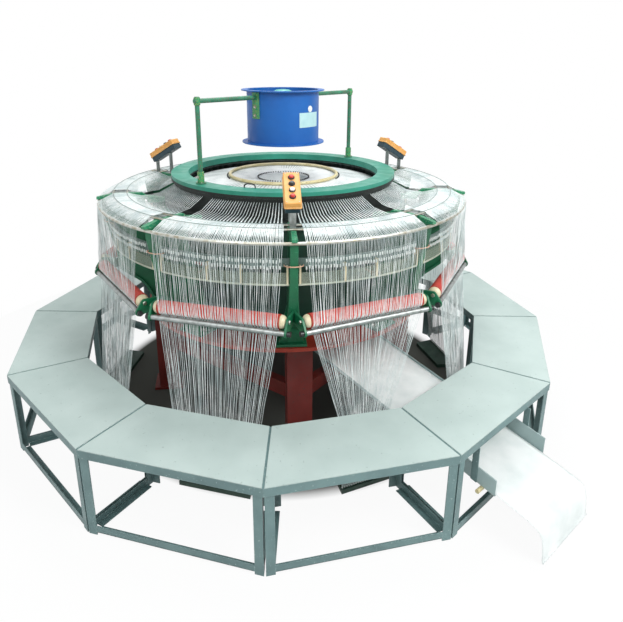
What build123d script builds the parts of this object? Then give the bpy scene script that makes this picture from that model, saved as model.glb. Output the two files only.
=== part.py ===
from build123d import *
import os
from math import asin, cos, degrees, radians, sin, tan

# Circular loom for woven sacks. Millimetres, Z up, the floor at Z = 0 and the machine's axis on Z.
# Angles are measured from +X towards +Y, as seen from above. -Y is the operator's side.

# Layout of the machine
sectors = 9
arm_phase = -87.5
sector_step = 360 / sectors
running_gap = 0.3
pin_clearance = 0.05

# Walkway round the machine
walk_sides = 12
walk_phase = -93.1
walk_outer_r = 1600.0
walk_inner_r = 1204.0
walk_height = 439.0
walk_sheet = 3.0
walk_angle_leg = 40.0
walk_angle_wall = 4.0
walk_seam = running_gap
walk_top_inset = 5.0
low_rail_bottom = 14.0
low_rail_height = 34.0
rim_flange_inset = 64.0

# Base
base_height = 620.0
base_plate = 20.0
base_outer_r = 820.0
base_inner_r = 450.0
base_legs_count = 4
base_leg_phase = -84.5
base_leg_r = 740.0
base_leg_width = 130.0
base_leg_depth = 120.0
base_pad = 180.0
base_pad_thick = 16.0
base_rail_bottom = 280.0
base_rail_height = 80.0
base_rail_width = 50.0

# Columns
column_foot_r = 730.0
column_flange_r = 76.0
column_flange = 14.0
column_web = 36.0
column_gusset_width = 128.0
column_gusset = 14.0
column_gusset_height = 190.0
column_neck_r = 800.0
column_head_r = 1030.0

# Warp rings and the arms that carry them
outer_ring_r = 1044.0
outer_ring_z = 1237.5
outer_ring_rod_r = 8.0
middle_ring_r = 964.5
middle_ring_z = 1278.0
inner_ring_r = 892.0
inner_ring_z = 1279.0
ring_rod_r = 5.0
arm_width = 24.0
arm_inner_r = 690.0
arm_outer_r = 1056.0
arm_knee_r = 812.0
arm_lip = 13.0

# Feed rollers
roller_apothem = 1006.0
roller_z = 877.0
roller_r = 33.0
roller_half_length = 300.0
roller_cap = 18.0
roller_cap_r = 27.0
roller_cap_taper = 12.0
shaft_r = 6.0
lug_near = 328.0
lug_thick = 10.0
lug_r = 18.0
lug_root = 896.0
shaft_end = 344.0
rod_r = 13.0
rod_out = 30.0
rod_down = 43.0
knob_r = 13.0
knob_length = 17.0

# Warp sheets
warp_thick = 3.0
warp_half_angle = 17.4
lower_foot_apothem = 1134.0
lower_bottom_half = 180.0
chute_pass_z = 366.0
chute_pass_left = 104.0
chute_pass_right = 186.0

# Stop rail between the columns
band_r = 985.0
band_thick = 3.0
band_z = 1030.0
band_height = 40.0
eye_rail_r = 968.0
eye_rail_thick = 6.0
eye_rail_z = 1108.0
eye_rail_height = 40.0
clip_width = 8.0
clip_spots = (-16.5, -4.5, 4.5, 16.5)
band_gap = 14.0

# Floor guides
guide_inner = 1020.0
guide_outer = 1150.0
guide_half = 185.0
guide_height = 24.0

# Shuttle race, reed and centre
green_ring_outer_r = 645.5
green_ring_inner_r = 549.0
green_ring_top = 1370.5
green_ring_height = 35.0
race_flange_r = 689.7
race_outer_r = 632.0
race_inner_r = 575.0
race_bottom = 1200.0
race_flange = 34.0
reed_inner_r = 556.0
reed_bottom = 1222.0
reed_top = 1330.0
housing_r = 500.0
housing_wall = 30.0
housing_flange = 20.0
housing_top_flange_r = 620.0
housing_foot_flange_r = 600.0
cloth_tube_r = 142.0
cloth_flat_half = 10.0
cloth_mouth_depth = 60.0
cloth_turn_z = 560.0
fell_z = 1296.0
weaving_ring_r = 300.0
weaving_ring_rod_r = 9.0
weaving_ring_seat = 1318.0
cloth_mouth_z = 1300.0

# Fan
fan_r = 204.0
fan_wall = 3.0
fan_flange_r = 234.5
fan_flange = 6.0
fan_bottom = 1530.0
fan_top = 1822.0
fan_post_r = 597.0
fan_post_angle = -135.5
fan_post_rod_r = 12.0
fan_post_top = 1806.0
fan_arm_z = 1785.0
fan_collar_r = 24.0
fan_collar_height = 56.0
fan_foot_r = 44.0
fan_foot = 8.0
fan_plate_angle = -44.0
fan_plate_span = 40.0
fan_plate_z = 1627.0
fan_plate_height = 79.0
fan_plate_thick = 1.5
clamp_span = 14.5
clamp_drop = 4.0
clamp_height = 140.0
clamp_thick = 6.0
motor_r = 60.0
motor_bottom = 1660.0
motor_top = 1796.0
strut_width = 22.0
strut_thick = 5.0
strut_z = 1750.0
motor_shaft_r = 8.0
motor_bore = 24.0
impeller_r = 194.0
impeller_hub_r = 55.0
impeller_z = 1590.0
impeller_hub_height = 60.0
blades = 6
blade_root_pitch = 42.0
blade_tip_pitch = 24.0
blade_chord = 80.0
blade_thick = 4.0

# Control boxes
box_sectors = (0, 3, 6)
box_r = 866.0
box_z = 1412.0
box_tilt = 30.0
box_length = 258.0
box_width = 86.0
box_cover = 30.0
box_base_margin = 5.0
box_base = 26.0
box_post_r = 6.0
box_post_spots = (822.0, 926.0)
button_r = 15.0
button_height = 12.0
button_pitch = 58.0

# Cloth chute
chute_angle = -49.5
chute_half = 220.0
chute_start = 250.0
chute_end = 1700.0
chute_ref_r = 450.0
chute_ref_z = 466.0
chute_slope = 12.5
chute_plate = 3.0
chute_lip = 12.0
cheek_start = 1400.0
cheek_height = 84.0
bar_r = 10.0
bar_at = 1580.0
bar_overhang = 34.0
hanger_width = 30.0
hanger_thick = 5.0
hanger_spots = (1172.0, 1540.0)
cloth_half = 212.0
cloth_thick = 3.0
cloth_end = 1888.0

os.makedirs("parts", exist_ok=True)


def finish(builder, name):
    """Label a finished piece and write it to its own file."""
    builder.part.label = name
    export_step(builder.part, f"parts/{name}.step")


def turned(angle):
    """Upright plane through the axis: x points outwards at an angle, y points up."""
    out = (cos(radians(angle)), sin(radians(angle)), 0)
    return Plane(origin=(0, 0, 0), x_dir=out, z_dir=(out[1], -out[0], 0))


half_step = sector_step / 2
bay_phase = arm_phase + half_step
arm_spots = PolarLocations(0, sectors, start_angle=arm_phase)
bay_spots = PolarLocations(0, sectors, start_angle=bay_phase)
web_half = column_web / 2
outer_ring_top = outer_ring_z + outer_ring_rod_r
arm_bottom = outer_ring_top + running_gap
arm_top = middle_ring_z - ring_rod_r - running_gap
rod_apothem = roller_apothem + rod_out
rod_z = roller_z - rod_down

# ---------------------------------------------------------------- walkway
# One table is drawn along +X, then repeated round the machine.
walk_half_step = 180 / walk_sides
walk_in = walk_inner_r * cos(radians(walk_half_step))
walk_out = walk_outer_r * cos(radians(walk_half_step))
seam_half = walk_seam / 2 / cos(radians(walk_half_step))
walk_in_half = walk_in * tan(radians(walk_half_step)) - seam_half
walk_out_half = walk_out * tan(radians(walk_half_step)) - seam_half
sheet_bottom = walk_height - walk_sheet
rim_bottom = sheet_bottom - walk_angle_leg
table = [Vector(walk_in, -walk_in_half), Vector(walk_out, -walk_out_half),
         Vector(walk_out, walk_out_half), Vector(walk_in, walk_in_half)]
table_spots = PolarLocations(0, walk_sides, start_angle=walk_phase + walk_half_step)


def bar_plan(start, end, inset, width):
    """Plan of a bar along one side of a table, stopping short of each corner."""
    along = (end - start).normalized()
    inwards = Vector(-along.Y, along.X)
    a, b = start + along * inset, end - along * inset
    return [(p.X, p.Y) for p in (a, b, b + inwards * width, a + inwards * width)]


def leg_plan(corner, before, after):
    """Plan of an angle-iron leg in one corner of a table."""
    one, two = (before - corner).normalized(), (after - corner).normalized()
    size, wall = walk_angle_leg, walk_angle_wall
    points = (corner, corner + one * size, corner + one * size + two * wall,
              corner + one * wall + two * wall, corner + one * wall + two * size, corner + two * size)
    return [(p.X, p.Y) for p in points]


with BuildPart() as table_top:
    with BuildSketch(Plane.XY.offset(sheet_bottom)):
        Polygon((walk_in, walk_top_inset - walk_in_half), (walk_out, walk_top_inset - walk_out_half),
                (walk_out, walk_out_half - walk_top_inset), (walk_in, walk_in_half - walk_top_inset), align=None)
    extrude(amount=walk_sheet)

with BuildPart() as table_legs:
    with BuildSketch():
        for k in range(4):
            Polygon(*leg_plan(table[k], table[k - 1], table[(k + 1) % 4]), align=None)
    extrude(amount=sheet_bottom)

with BuildPart() as table_rails:
    with BuildSketch(Plane.XY.offset(rim_bottom)):
        for k in range(4):
            Polygon(*bar_plan(table[k], table[(k + 1) % 4], walk_angle_leg, walk_angle_wall), align=None)
    extrude(amount=walk_angle_leg)
    with BuildSketch(Plane.XY.offset(sheet_bottom - walk_angle_wall)):
        for k in range(4):
            Polygon(*bar_plan(table[k], table[(k + 1) % 4], rim_flange_inset, walk_angle_leg), align=None)
    extrude(amount=walk_angle_wall)
    with BuildSketch(Plane.XY.offset(low_rail_bottom)):
        for k in range(3):
            Polygon(*bar_plan(table[k], table[k + 1], walk_angle_leg, walk_angle_wall), align=None)
    extrude(amount=low_rail_height)
    add(table_legs.part, mode=Mode.SUBTRACT)

with BuildPart() as walkway_tops:
    with table_spots:
        add(table_top.part)
finish(walkway_tops, "walkway_tops")

with BuildPart() as walkway_legs:
    with table_spots:
        add(table_legs.part)
finish(walkway_legs, "walkway_legs")

with BuildPart() as walkway_rails:
    with table_spots:
        add(table_rails.part)
finish(walkway_rails, "walkway_rails")

# ---------------------------------------------------------------- base
base_half_step = 180 / base_legs_count

with BuildPart() as base_frame:
    with BuildSketch():
        with PolarLocations(base_leg_r, base_legs_count, start_angle=base_leg_phase):
            Rectangle(base_pad, base_pad)
    extrude(amount=base_pad_thick)
    with BuildSketch(Plane.XY.offset(base_pad_thick)):
        with PolarLocations(base_leg_r, base_legs_count, start_angle=base_leg_phase):
            Rectangle(base_leg_depth, base_leg_width)
    extrude(amount=base_height - base_plate - base_pad_thick)
    with BuildSketch(Plane.XY.offset(base_rail_bottom)):
        rail_r = base_leg_r * cos(radians(base_half_step))
        rail_length = 2 * base_leg_r * sin(radians(base_half_step)) - base_leg_depth
        with PolarLocations(rail_r, base_legs_count, start_angle=base_leg_phase + base_half_step):
            Rectangle(base_rail_width, rail_length)
    extrude(amount=base_rail_height)
finish(base_frame, "base_frame")

with BuildPart() as base_top:
    with BuildSketch(Plane.XY.offset(base_height - base_plate)):
        Circle(base_outer_r)
        Circle(base_inner_r, mode=Mode.SUBTRACT)
    extrude(amount=base_plate)
finish(base_top, "base_top")

# ---------------------------------------------------------------- columns with the roller lugs
# One column is drawn along +X, then repeated at each arm.
foot = base_height + column_flange
column_outline = [
    (column_foot_r - 62, foot), (column_foot_r + 62, foot), (838, 740), (968, 835), (980, 960),
    (column_head_r, 1195), (column_head_r, arm_bottom), (column_neck_r, arm_bottom),
    (column_neck_r, 1130), (705, 800),
]

with BuildPart() as column:
    with BuildSketch(Plane.XY.offset(base_height)):
        with Locations((column_foot_r, 0)):
            Circle(column_flange_r)
    extrude(amount=column_flange)
    with BuildSketch(Plane.XZ):
        Polygon(*column_outline, align=None)
    extrude(amount=web_half, both=True)
    with BuildSketch(Plane.YZ.offset(column_foot_r)):
        Polygon((-column_gusset_width / 2, foot), (column_gusset_width / 2, foot),
                (web_half, foot + column_gusset_height), (-web_half, foot + column_gusset_height), align=None)
    extrude(amount=column_gusset / 2, both=True)
    # A lug on each side carries the ends of a roller and its guide rod
    with BuildSketch(turned(half_step).offset(lug_near)):
        with Locations((roller_apothem, roller_z), (rod_apothem, rod_z)):
            Circle(lug_r)
        with Locations((lug_root, roller_z)):
            Rectangle(2 * lug_r, 2 * lug_r)
        make_hull()
        with Locations((roller_apothem, roller_z)):
            Circle(shaft_r + pin_clearance, mode=Mode.SUBTRACT)
    extrude(amount=lug_thick)
    mirror(about=Plane.XZ)

with BuildPart() as columns:
    with arm_spots:
        add(column.part)
finish(columns, "columns")

# ---------------------------------------------------------------- warp rings and arms
arm_outline = [
    (arm_outer_r, arm_bottom), (arm_outer_r, arm_bottom + arm_lip), (middle_ring_r + 12, arm_top),
    (arm_knee_r, arm_top), (arm_knee_r - 22, arm_top - 18), (arm_inner_r, arm_top - 36),
    (arm_inner_r, arm_top - 60), (column_neck_r - 20, arm_top - 60), (column_neck_r - 1, arm_bottom),
]

with BuildPart() as arm:
    with BuildSketch(Plane.XZ):
        Polygon(*arm_outline, align=None)
    extrude(amount=arm_width / 2, both=True)

with BuildPart() as arms:
    with arm_spots:
        add(arm.part)
finish(arms, "arms")

with BuildPart() as warp_rings:
    with BuildSketch(Plane.XZ):
        with Locations((outer_ring_r, outer_ring_z)):
            Circle(outer_ring_rod_r)
        with Locations((middle_ring_r, middle_ring_z), (inner_ring_r, middle_ring_z)):
            Circle(ring_rod_r)
    revolve(axis=Axis.Z)
finish(warp_rings, "warp_rings")

# ---------------------------------------------------------------- feed rollers, rods and knobs
with BuildPart() as roller:
    with BuildSketch(Plane.XZ.offset(-shaft_end)):
        with Locations((roller_apothem, roller_z)):
            Circle(shaft_r)
    extrude(amount=2 * shaft_end)
    with BuildSketch(Plane.XZ.offset(-roller_half_length)):
        with Locations((roller_apothem, roller_z)):
            Circle(roller_r)
    extrude(amount=2 * roller_half_length)
    for side in (-1, 1):
        with BuildSketch(Plane.XZ.offset(side * roller_half_length)):
            with Locations((roller_apothem, roller_z)):
                Circle(roller_cap_r)
        extrude(amount=side * roller_cap, taper=roller_cap_taper)

for k in range(sectors):
    with BuildPart() as feed_roller:
        with PolarLocations(0, 1, start_angle=bay_phase + sector_step * k):
            add(roller.part)
    finish(feed_roller, f"feed_roller_{k + 1}")

with BuildPart() as rod:
    with BuildSketch(Plane.XZ.offset(-lug_near)):
        with Locations((rod_apothem, rod_z)):
            Circle(rod_r)
    extrude(amount=2 * lug_near)

with BuildPart() as guide_rods:
    with bay_spots:
        add(rod.part)
finish(guide_rods, "guide_rods")

with BuildPart() as knobs:
    for side in (-1, 1):
        with BuildSketch(Plane.XZ.offset(side * (lug_near + lug_thick))):
            with Locations((rod_apothem, rod_z)):
                Circle(knob_r)
        extrude(amount=side * knob_length)

with BuildPart() as rod_knobs:
    with bay_spots:
        add(knobs.part)
finish(rod_knobs, "rod_knobs")

# ---------------------------------------------------------------- warp sheets
top_line = [
    (outer_ring_r, outer_ring_top + running_gap),
    (middle_ring_r + ring_rod_r / 2, middle_ring_z + ring_rod_r + running_gap),
    (inner_ring_r, middle_ring_z + ring_rod_r + running_gap),
    (arm_knee_r, arm_top - 8), (race_outer_r + 10, race_bottom + race_flange + 12),
]

with BuildPart() as top_sheet:
    with BuildSketch(Plane.XZ):
        Polygon(*top_line, *[(r, z + warp_thick) for r, z in reversed(top_line)], align=None)
    revolve(axis=Axis.Z, revolution_arc=2 * warp_half_angle)

with BuildPart() as warp_top:
    with PolarLocations(0, sectors, start_angle=bay_phase - warp_half_angle):
        add(top_sheet.part)
finish(warp_top, "warp_top")

upper_top = outer_ring_z - outer_ring_rod_r - running_gap
upper_bottom = roller_z
upper_foot_apothem = roller_apothem + roller_r + running_gap + warp_thick / 2

with BuildPart() as upper_sheet:
    with BuildSketch(Plane.XY.offset(upper_top)):
        inside, outside = outer_ring_r - warp_thick / 2, outer_ring_r + warp_thick / 2
        with BuildLine():
            inner_arc = CenterArc((0, 0), inside, -warp_half_angle, 2 * warp_half_angle)
            outer_arc = CenterArc((0, 0), outside, -warp_half_angle, 2 * warp_half_angle)
            Line(inner_arc @ 0, outer_arc @ 0)
            Line(inner_arc @ 1, outer_arc @ 1)
        make_face()
    with BuildSketch(Plane.XY.offset(upper_bottom)):
        with Locations((upper_foot_apothem, 0)):
            Rectangle(warp_thick, 2 * roller_half_length)
    loft(ruled=True)

with BuildPart() as warp_upper:
    with bay_spots:
        add(upper_sheet.part)
finish(warp_upper, "warp_upper")

# A lower sheet leans outwards from its guide rod to the floor guide. The two beside the
# chute are cut short where the chute passes between them.
lower_top = rod_z - rod_r - running_gap
lower_foot = guide_height + running_gap
lower_apothem = rod_apothem - warp_thick / 2
lean = Vector(lower_foot_apothem - lower_apothem, 0, lower_foot - lower_top)
lower_length = lean.length


def down_to(height):
    """Distance down a lower sheet to a height above the floor."""
    return lower_length * (lower_top - height) / (lower_top - lower_foot)


def lower_half(height):
    """Half width of an uncut lower sheet at a height."""
    return roller_half_length + (lower_bottom_half - roller_half_length) * down_to(height) / lower_length


def lower_edge(side, limit=None):
    """Side edge of a lower sheet, from its foot up to the rod."""
    if limit is None:
        return [(side * lower_bottom_half, lower_length), (side * roller_half_length, 0)]
    foot_half = min(limit, lower_bottom_half)
    deep = down_to(chute_pass_z)
    return [(side * foot_half, lower_length), (side * limit, deep), (side * lower_half(chute_pass_z), deep),
            (side * roller_half_length, 0)]


with BuildPart() as warp_lower:
    for k in range(sectors):
        right = lower_edge(1, chute_pass_left if k == 0 else None)
        left = lower_edge(-1, chute_pass_right if k == 1 else None)
        across = Vector(0, 1, 0).rotate(Axis.Z, bay_phase + sector_step * k)
        down = lean.normalized().rotate(Axis.Z, bay_phase + sector_step * k)
        corner = Vector(lower_apothem, 0, lower_top).rotate(Axis.Z, bay_phase + sector_step * k)
        with BuildSketch(Plane(origin=corner, x_dir=across, z_dir=across.cross(down))):
            Polygon(*right, *reversed(left), align=None)
    extrude(amount=-warp_thick)
finish(warp_lower, "warp_lower")

# ---------------------------------------------------------------- stop rail between the columns
rail_half = half_step - degrees(asin((web_half + running_gap) / eye_rail_r))
band_half = half_step - degrees(asin((web_half + band_gap) / band_r))

for name, strip_r, thick, bottom, height, reach in (
    ("eye_rail", eye_rail_r, eye_rail_thick, eye_rail_z, eye_rail_height, rail_half),
    ("stop_band", band_r, band_thick, band_z, band_height, band_half),
):
    with BuildPart() as strip:
        with BuildSketch(Plane.XZ):
            with Locations((strip_r + thick / 2, bottom + height / 2)):
                Rectangle(thick, height)
        revolve(axis=Axis.Z, revolution_arc=2 * reach)
    with BuildPart() as bay_strips:
        with PolarLocations(0, sectors, start_angle=bay_phase - reach):
            add(strip.part)
    finish(bay_strips, name)

clip_in = eye_rail_r + eye_rail_thick + running_gap
clip_out = band_r - running_gap
with BuildPart() as clips:
    for spot in clip_spots:
        with BuildSketch(Plane.XY.offset(band_z)):
            with PolarLocations((clip_in + clip_out) / 2, 1, start_angle=spot):
                Rectangle(clip_out - clip_in - 1, clip_width)
    extrude(amount=eye_rail_z + eye_rail_height - band_z)

with BuildPart() as band_clips:
    with bay_spots:
        add(clips.part)
finish(band_clips, "band_clips")

# ---------------------------------------------------------------- floor guides
with BuildPart() as guide:
    with BuildSketch():
        inner_half = guide_half * guide_inner / guide_outer
        Polygon((guide_inner, -inner_half), (guide_outer, -guide_half), (guide_outer, guide_half),
                (guide_inner, inner_half), align=None)
    extrude(amount=guide_height)

with BuildPart() as floor_guides:
    with bay_spots:
        add(guide.part)
finish(floor_guides, "floor_guides")

# ---------------------------------------------------------------- shuttle race, reed and centre
with BuildPart() as cam_housing:
    with BuildSketch(Plane.XZ):
        Polygon((housing_r - housing_wall, base_height), (housing_foot_flange_r, base_height),
                (housing_foot_flange_r, base_height + housing_flange), (housing_r, base_height + housing_flange),
                (housing_r, race_bottom - housing_flange), (housing_top_flange_r, race_bottom - housing_flange),
                (housing_top_flange_r, race_bottom), (housing_r - housing_wall, race_bottom), align=None)
    revolve(axis=Axis.Z)
finish(cam_housing, "cam_housing")

race_top = green_ring_top - green_ring_height
with BuildPart() as shuttle_race:
    with BuildSketch(Plane.XZ):
        Polygon((race_inner_r, race_bottom), (race_flange_r, race_bottom), (race_flange_r, race_bottom + race_flange),
                (race_outer_r, race_bottom + race_flange), (race_outer_r, race_top), (race_inner_r, race_top),
                align=None)
    revolve(axis=Axis.Z)
finish(shuttle_race, "shuttle_race")

with BuildPart() as green_ring:
    with BuildSketch(Plane.XY.offset(race_top)):
        Circle(green_ring_outer_r)
        Circle(green_ring_inner_r, mode=Mode.SUBTRACT)
    extrude(amount=green_ring_height)
finish(green_ring, "green_ring")

with BuildPart() as reed_ring:
    with BuildSketch(Plane.XY.offset(reed_bottom)):
        Circle(race_inner_r - running_gap)
        Circle(reed_inner_r, mode=Mode.SUBTRACT)
    extrude(amount=reed_top - reed_bottom)
finish(reed_ring, "reed_ring")

tube_start = cloth_mouth_z - cloth_mouth_depth
with BuildPart() as cloth_tube:
    # The new cloth rises from the reed to the weaving ring and turns down inside it
    with BuildSketch(Plane.XZ):
        edge = reed_inner_r - running_gap
        hollow_r = cloth_tube_r - cloth_thick
        Polygon((0, tube_start), (cloth_tube_r, tube_start), (cloth_tube_r, cloth_mouth_z - cloth_thick),
                (weaving_ring_r, weaving_ring_seat - cloth_thick), (edge, fell_z), (edge, fell_z + cloth_thick),
                (weaving_ring_r, weaving_ring_seat), (hollow_r, cloth_mouth_z),
                (hollow_r, tube_start + cloth_thick), (0, tube_start + cloth_thick), align=None)
    revolve(axis=Axis.Z)
    with BuildSketch(Plane.XY.offset(tube_start)):
        Circle(cloth_tube_r)
    with BuildSketch(Plane.XY.offset(cloth_turn_z)):
        Ellipse(cloth_flat_half, cloth_half, rotation=chute_angle)
    loft(ruled=True)
finish(cloth_tube, "cloth_tube")

with BuildPart() as weaving_ring:
    with BuildSketch(Plane.XZ):
        with Locations((weaving_ring_r, weaving_ring_seat + weaving_ring_rod_r + running_gap)):
            Circle(weaving_ring_rod_r)
    revolve(axis=Axis.Z)
finish(weaving_ring, "weaving_ring")

# ---------------------------------------------------------------- fan over the centre
with BuildPart() as fan_casing:
    with BuildSketch(Plane.XY.offset(fan_bottom)):
        Circle(fan_r)
    extrude(amount=fan_top - fan_bottom)
    with BuildSketch(Plane.XY.offset(fan_bottom), Plane.XY.offset(fan_top - fan_flange)):
        Circle(fan_flange_r)
    extrude(amount=fan_flange)
    with BuildSketch(Plane.XY.offset(fan_bottom)):
        Circle(fan_r - fan_wall)
    extrude(amount=fan_top - fan_bottom, mode=Mode.SUBTRACT)
finish(fan_casing, "fan_casing")

with BuildPart() as fan_plate:
    with BuildSketch(Plane.XZ):
        with Locations((fan_r + running_gap + fan_plate_thick / 2, fan_plate_z + fan_plate_height / 2)):
            Rectangle(fan_plate_thick, fan_plate_height)
    revolve(axis=Axis.Z, revolution_arc=fan_plate_span)

with BuildPart() as fan_label:
    with PolarLocations(0, 1, start_angle=fan_plate_angle - fan_plate_span / 2):
        add(fan_plate.part)
finish(fan_label, "fan_label")

with BuildPart() as post:
    with BuildSketch(Plane.XY.offset(green_ring_top)):
        with Locations((fan_post_r, 0)):
            Circle(fan_foot_r)
    extrude(amount=fan_foot)
    with BuildSketch(Plane.XY.offset(green_ring_top + fan_foot)):
        with Locations((fan_post_r, 0)):
            Circle(fan_collar_r)
    extrude(amount=fan_collar_height)
    with BuildSketch(Plane.XY.offset(green_ring_top + fan_foot)):
        with Locations((fan_post_r, 0)):
            Circle(fan_post_rod_r)
    extrude(amount=fan_post_top - green_ring_top - fan_foot)
    with BuildSketch(Plane.YZ.offset(fan_r + running_gap + clamp_thick)):
        with Locations((0, fan_arm_z)):
            Circle(fan_post_rod_r)
    extrude(amount=fan_post_r - fan_r - running_gap - clamp_thick)

with BuildPart() as fan_posts:
    with PolarLocations(0, 2, start_angle=fan_post_angle):
        add(post.part)
finish(fan_posts, "fan_posts")

with BuildPart() as clamp:
    with BuildSketch(Plane.XZ):
        with Locations((fan_r + running_gap + clamp_thick / 2, fan_top - fan_flange - clamp_drop - clamp_height / 2)):
            Rectangle(clamp_thick, clamp_height)
    revolve(axis=Axis.Z, revolution_arc=clamp_span)

with BuildPart() as fan_clamps:
    with PolarLocations(0, 2, start_angle=fan_post_angle - clamp_span / 2):
        add(clamp.part)
    add(fan_posts.part, mode=Mode.SUBTRACT)
finish(fan_clamps, "fan_clamps")

with BuildPart() as fan_motor:
    with BuildSketch(Plane.XY.offset(motor_bottom)):
        Circle(motor_r)
    extrude(amount=motor_top - motor_bottom)
    with BuildSketch(Plane.XY.offset(strut_z)):
        with PolarLocations((motor_r + fan_r) / 2, 3, start_angle=fan_post_angle):
            Rectangle(fan_r - fan_wall - running_gap - motor_r + (motor_r - fan_wall), strut_width)
        Circle(fan_r - fan_wall - running_gap, mode=Mode.INTERSECT)
    extrude(amount=strut_thick)
    with BuildSketch(Plane.XY.offset(motor_bottom)):
        Circle(motor_shaft_r + pin_clearance)
    extrude(amount=motor_bore, mode=Mode.SUBTRACT)
finish(fan_motor, "fan_motor")

with BuildPart() as blade:
    for spot, pitch in ((impeller_hub_r - 4, blade_root_pitch), (impeller_r, blade_tip_pitch)):
        with BuildSketch(Plane.YZ.offset(spot)):
            with Locations((0, impeller_z)):
                Rectangle(blade_chord, blade_thick, rotation=pitch)
    loft(ruled=True)

with BuildPart() as fan_impeller:
    with BuildSketch(Plane.XY.offset(impeller_z - impeller_hub_height / 2)):
        Circle(impeller_hub_r)
    extrude(amount=impeller_hub_height)
    with BuildSketch(Plane.XY.offset(impeller_z)):
        Circle(motor_shaft_r)
    extrude(amount=motor_bottom + motor_bore - 1 - impeller_z)
    with PolarLocations(0, blades):
        add(blade.part)
finish(fan_impeller, "fan_impeller")

# ---------------------------------------------------------------- control boxes on three arms
# Drawn along +X. The top face slopes down towards the operator.
box_face = Plane(origin=(box_r, 0, box_z), x_dir=(cos(radians(box_tilt)), 0, -sin(radians(box_tilt))),
                 z_dir=(sin(radians(box_tilt)), 0, cos(radians(box_tilt))))
box_depth = box_cover + box_base
box_spots = [PolarLocations(0, 1, start_angle=arm_phase + sector_step * k) for k in box_sectors]

with BuildPart() as cover:
    with BuildSketch(box_face.offset(-box_cover)):
        RectangleRounded(box_length, box_width, 6)
    extrude(amount=box_cover)

with BuildPart() as under:
    with BuildSketch(box_face.offset(-box_depth)):
        RectangleRounded(box_length - box_base_margin, box_width - box_base_margin, 4)
    extrude(amount=box_base)

with BuildPart() as legs:
    for spot in box_post_spots:
        with BuildSketch(Plane.XY.offset(arm_top)):
            with Locations((spot, 0)):
                Circle(box_post_r)
        reach = box_z - box_depth / cos(radians(box_tilt)) - (spot - box_r) * tan(radians(box_tilt))
        extrude(amount=reach + 12 - arm_top)
    add(under.part, mode=Mode.SUBTRACT)

with BuildPart() as caps:
    with BuildSketch(box_face):
        with GridLocations(button_pitch, 0, 4, 1):
            Circle(button_r)
    extrude(amount=button_height)

for name, piece in (("box_covers", cover), ("box_bases", under), ("box_posts", legs), ("push_buttons", caps)):
    with BuildPart() as set_of_three:
        for place in box_spots:
            with place:
                add(piece.part)
    finish(set_of_three, name)

# ---------------------------------------------------------------- chute and cloth
def chute_level(r, above=0.0):
    """Height of the chute's floor at a distance out from the axis."""
    return chute_ref_z - (r - chute_ref_r) * tan(radians(chute_slope)) + above


def chute_strip(start, end, bottom, top):
    """Side view of a strip that follows the chute's slope."""
    return [(start, chute_level(start, bottom)), (end, chute_level(end, bottom)),
            (end, chute_level(end, top)), (start, chute_level(start, top))]


chute_side = turned(chute_angle)
with BuildPart() as cloth_chute:
    with BuildSketch(chute_side):
        Polygon(*chute_strip(chute_start, chute_end, -chute_plate, 0), align=None)
    extrude(amount=chute_half, both=True)
    for side in (-1, 1):
        with BuildSketch(chute_side.offset(side * chute_half)):
            Polygon(*chute_strip(chute_start, cheek_start, 0, chute_lip), align=None)
            Polygon(*chute_strip(cheek_start, chute_end, -chute_plate, cheek_height), align=None)
        extrude(amount=-side * chute_plate)
finish(cloth_chute, "cloth_chute")

with BuildPart() as chute_bar:
    with BuildSketch(chute_side.offset(-chute_half - bar_overhang)):
        with Locations((bar_at, chute_level(bar_at, -chute_plate - bar_r * 1.05 - running_gap))):
            Circle(bar_r)
    extrude(amount=2 * (chute_half + bar_overhang))
finish(chute_bar, "chute_bar")

with BuildPart() as chute_hangers:
    for spot in hanger_spots:
        left, right = spot - hanger_width / 2, spot + hanger_width / 2
        for side in (-1, 1):
            with BuildSketch(chute_side.offset(side * (chute_half + running_gap))):
                Polygon((left, chute_level(left, -chute_plate)), (right, chute_level(right, -chute_plate)),
                        (right, rim_bottom), (left, rim_bottom), align=None)
            extrude(amount=side * hanger_thick)
finish(chute_hangers, "chute_hangers")

lift = cloth_thick / 2 + running_gap
with BuildPart() as cloth_strip:
    with BuildSketch(chute_side):
        with BuildLine():
            Polyline((2, cloth_turn_z - lift), (chute_start, chute_level(chute_start, lift)),
                     (chute_end, chute_level(chute_end, lift)),
                     (chute_end + 60, chute_level(chute_end + 60) - 24), (chute_end + 110, 70),
                     (chute_end + 135, cloth_thick), (cloth_end, cloth_thick / 2))
        trace(line_width=cloth_thick)
    extrude(amount=cloth_half, both=True)
finish(cloth_strip, "cloth_strip")
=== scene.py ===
"""A circular loom with its ring of walkway tables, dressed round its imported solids.

Everything is in metres in the solids' own frame: +Z up along the machine's axis, -Y to the front.
"""
import random
from math import cos, degrees, hypot, pi, radians, sin, tan

import bpy
from mathutils import Matrix, Vector


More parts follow.
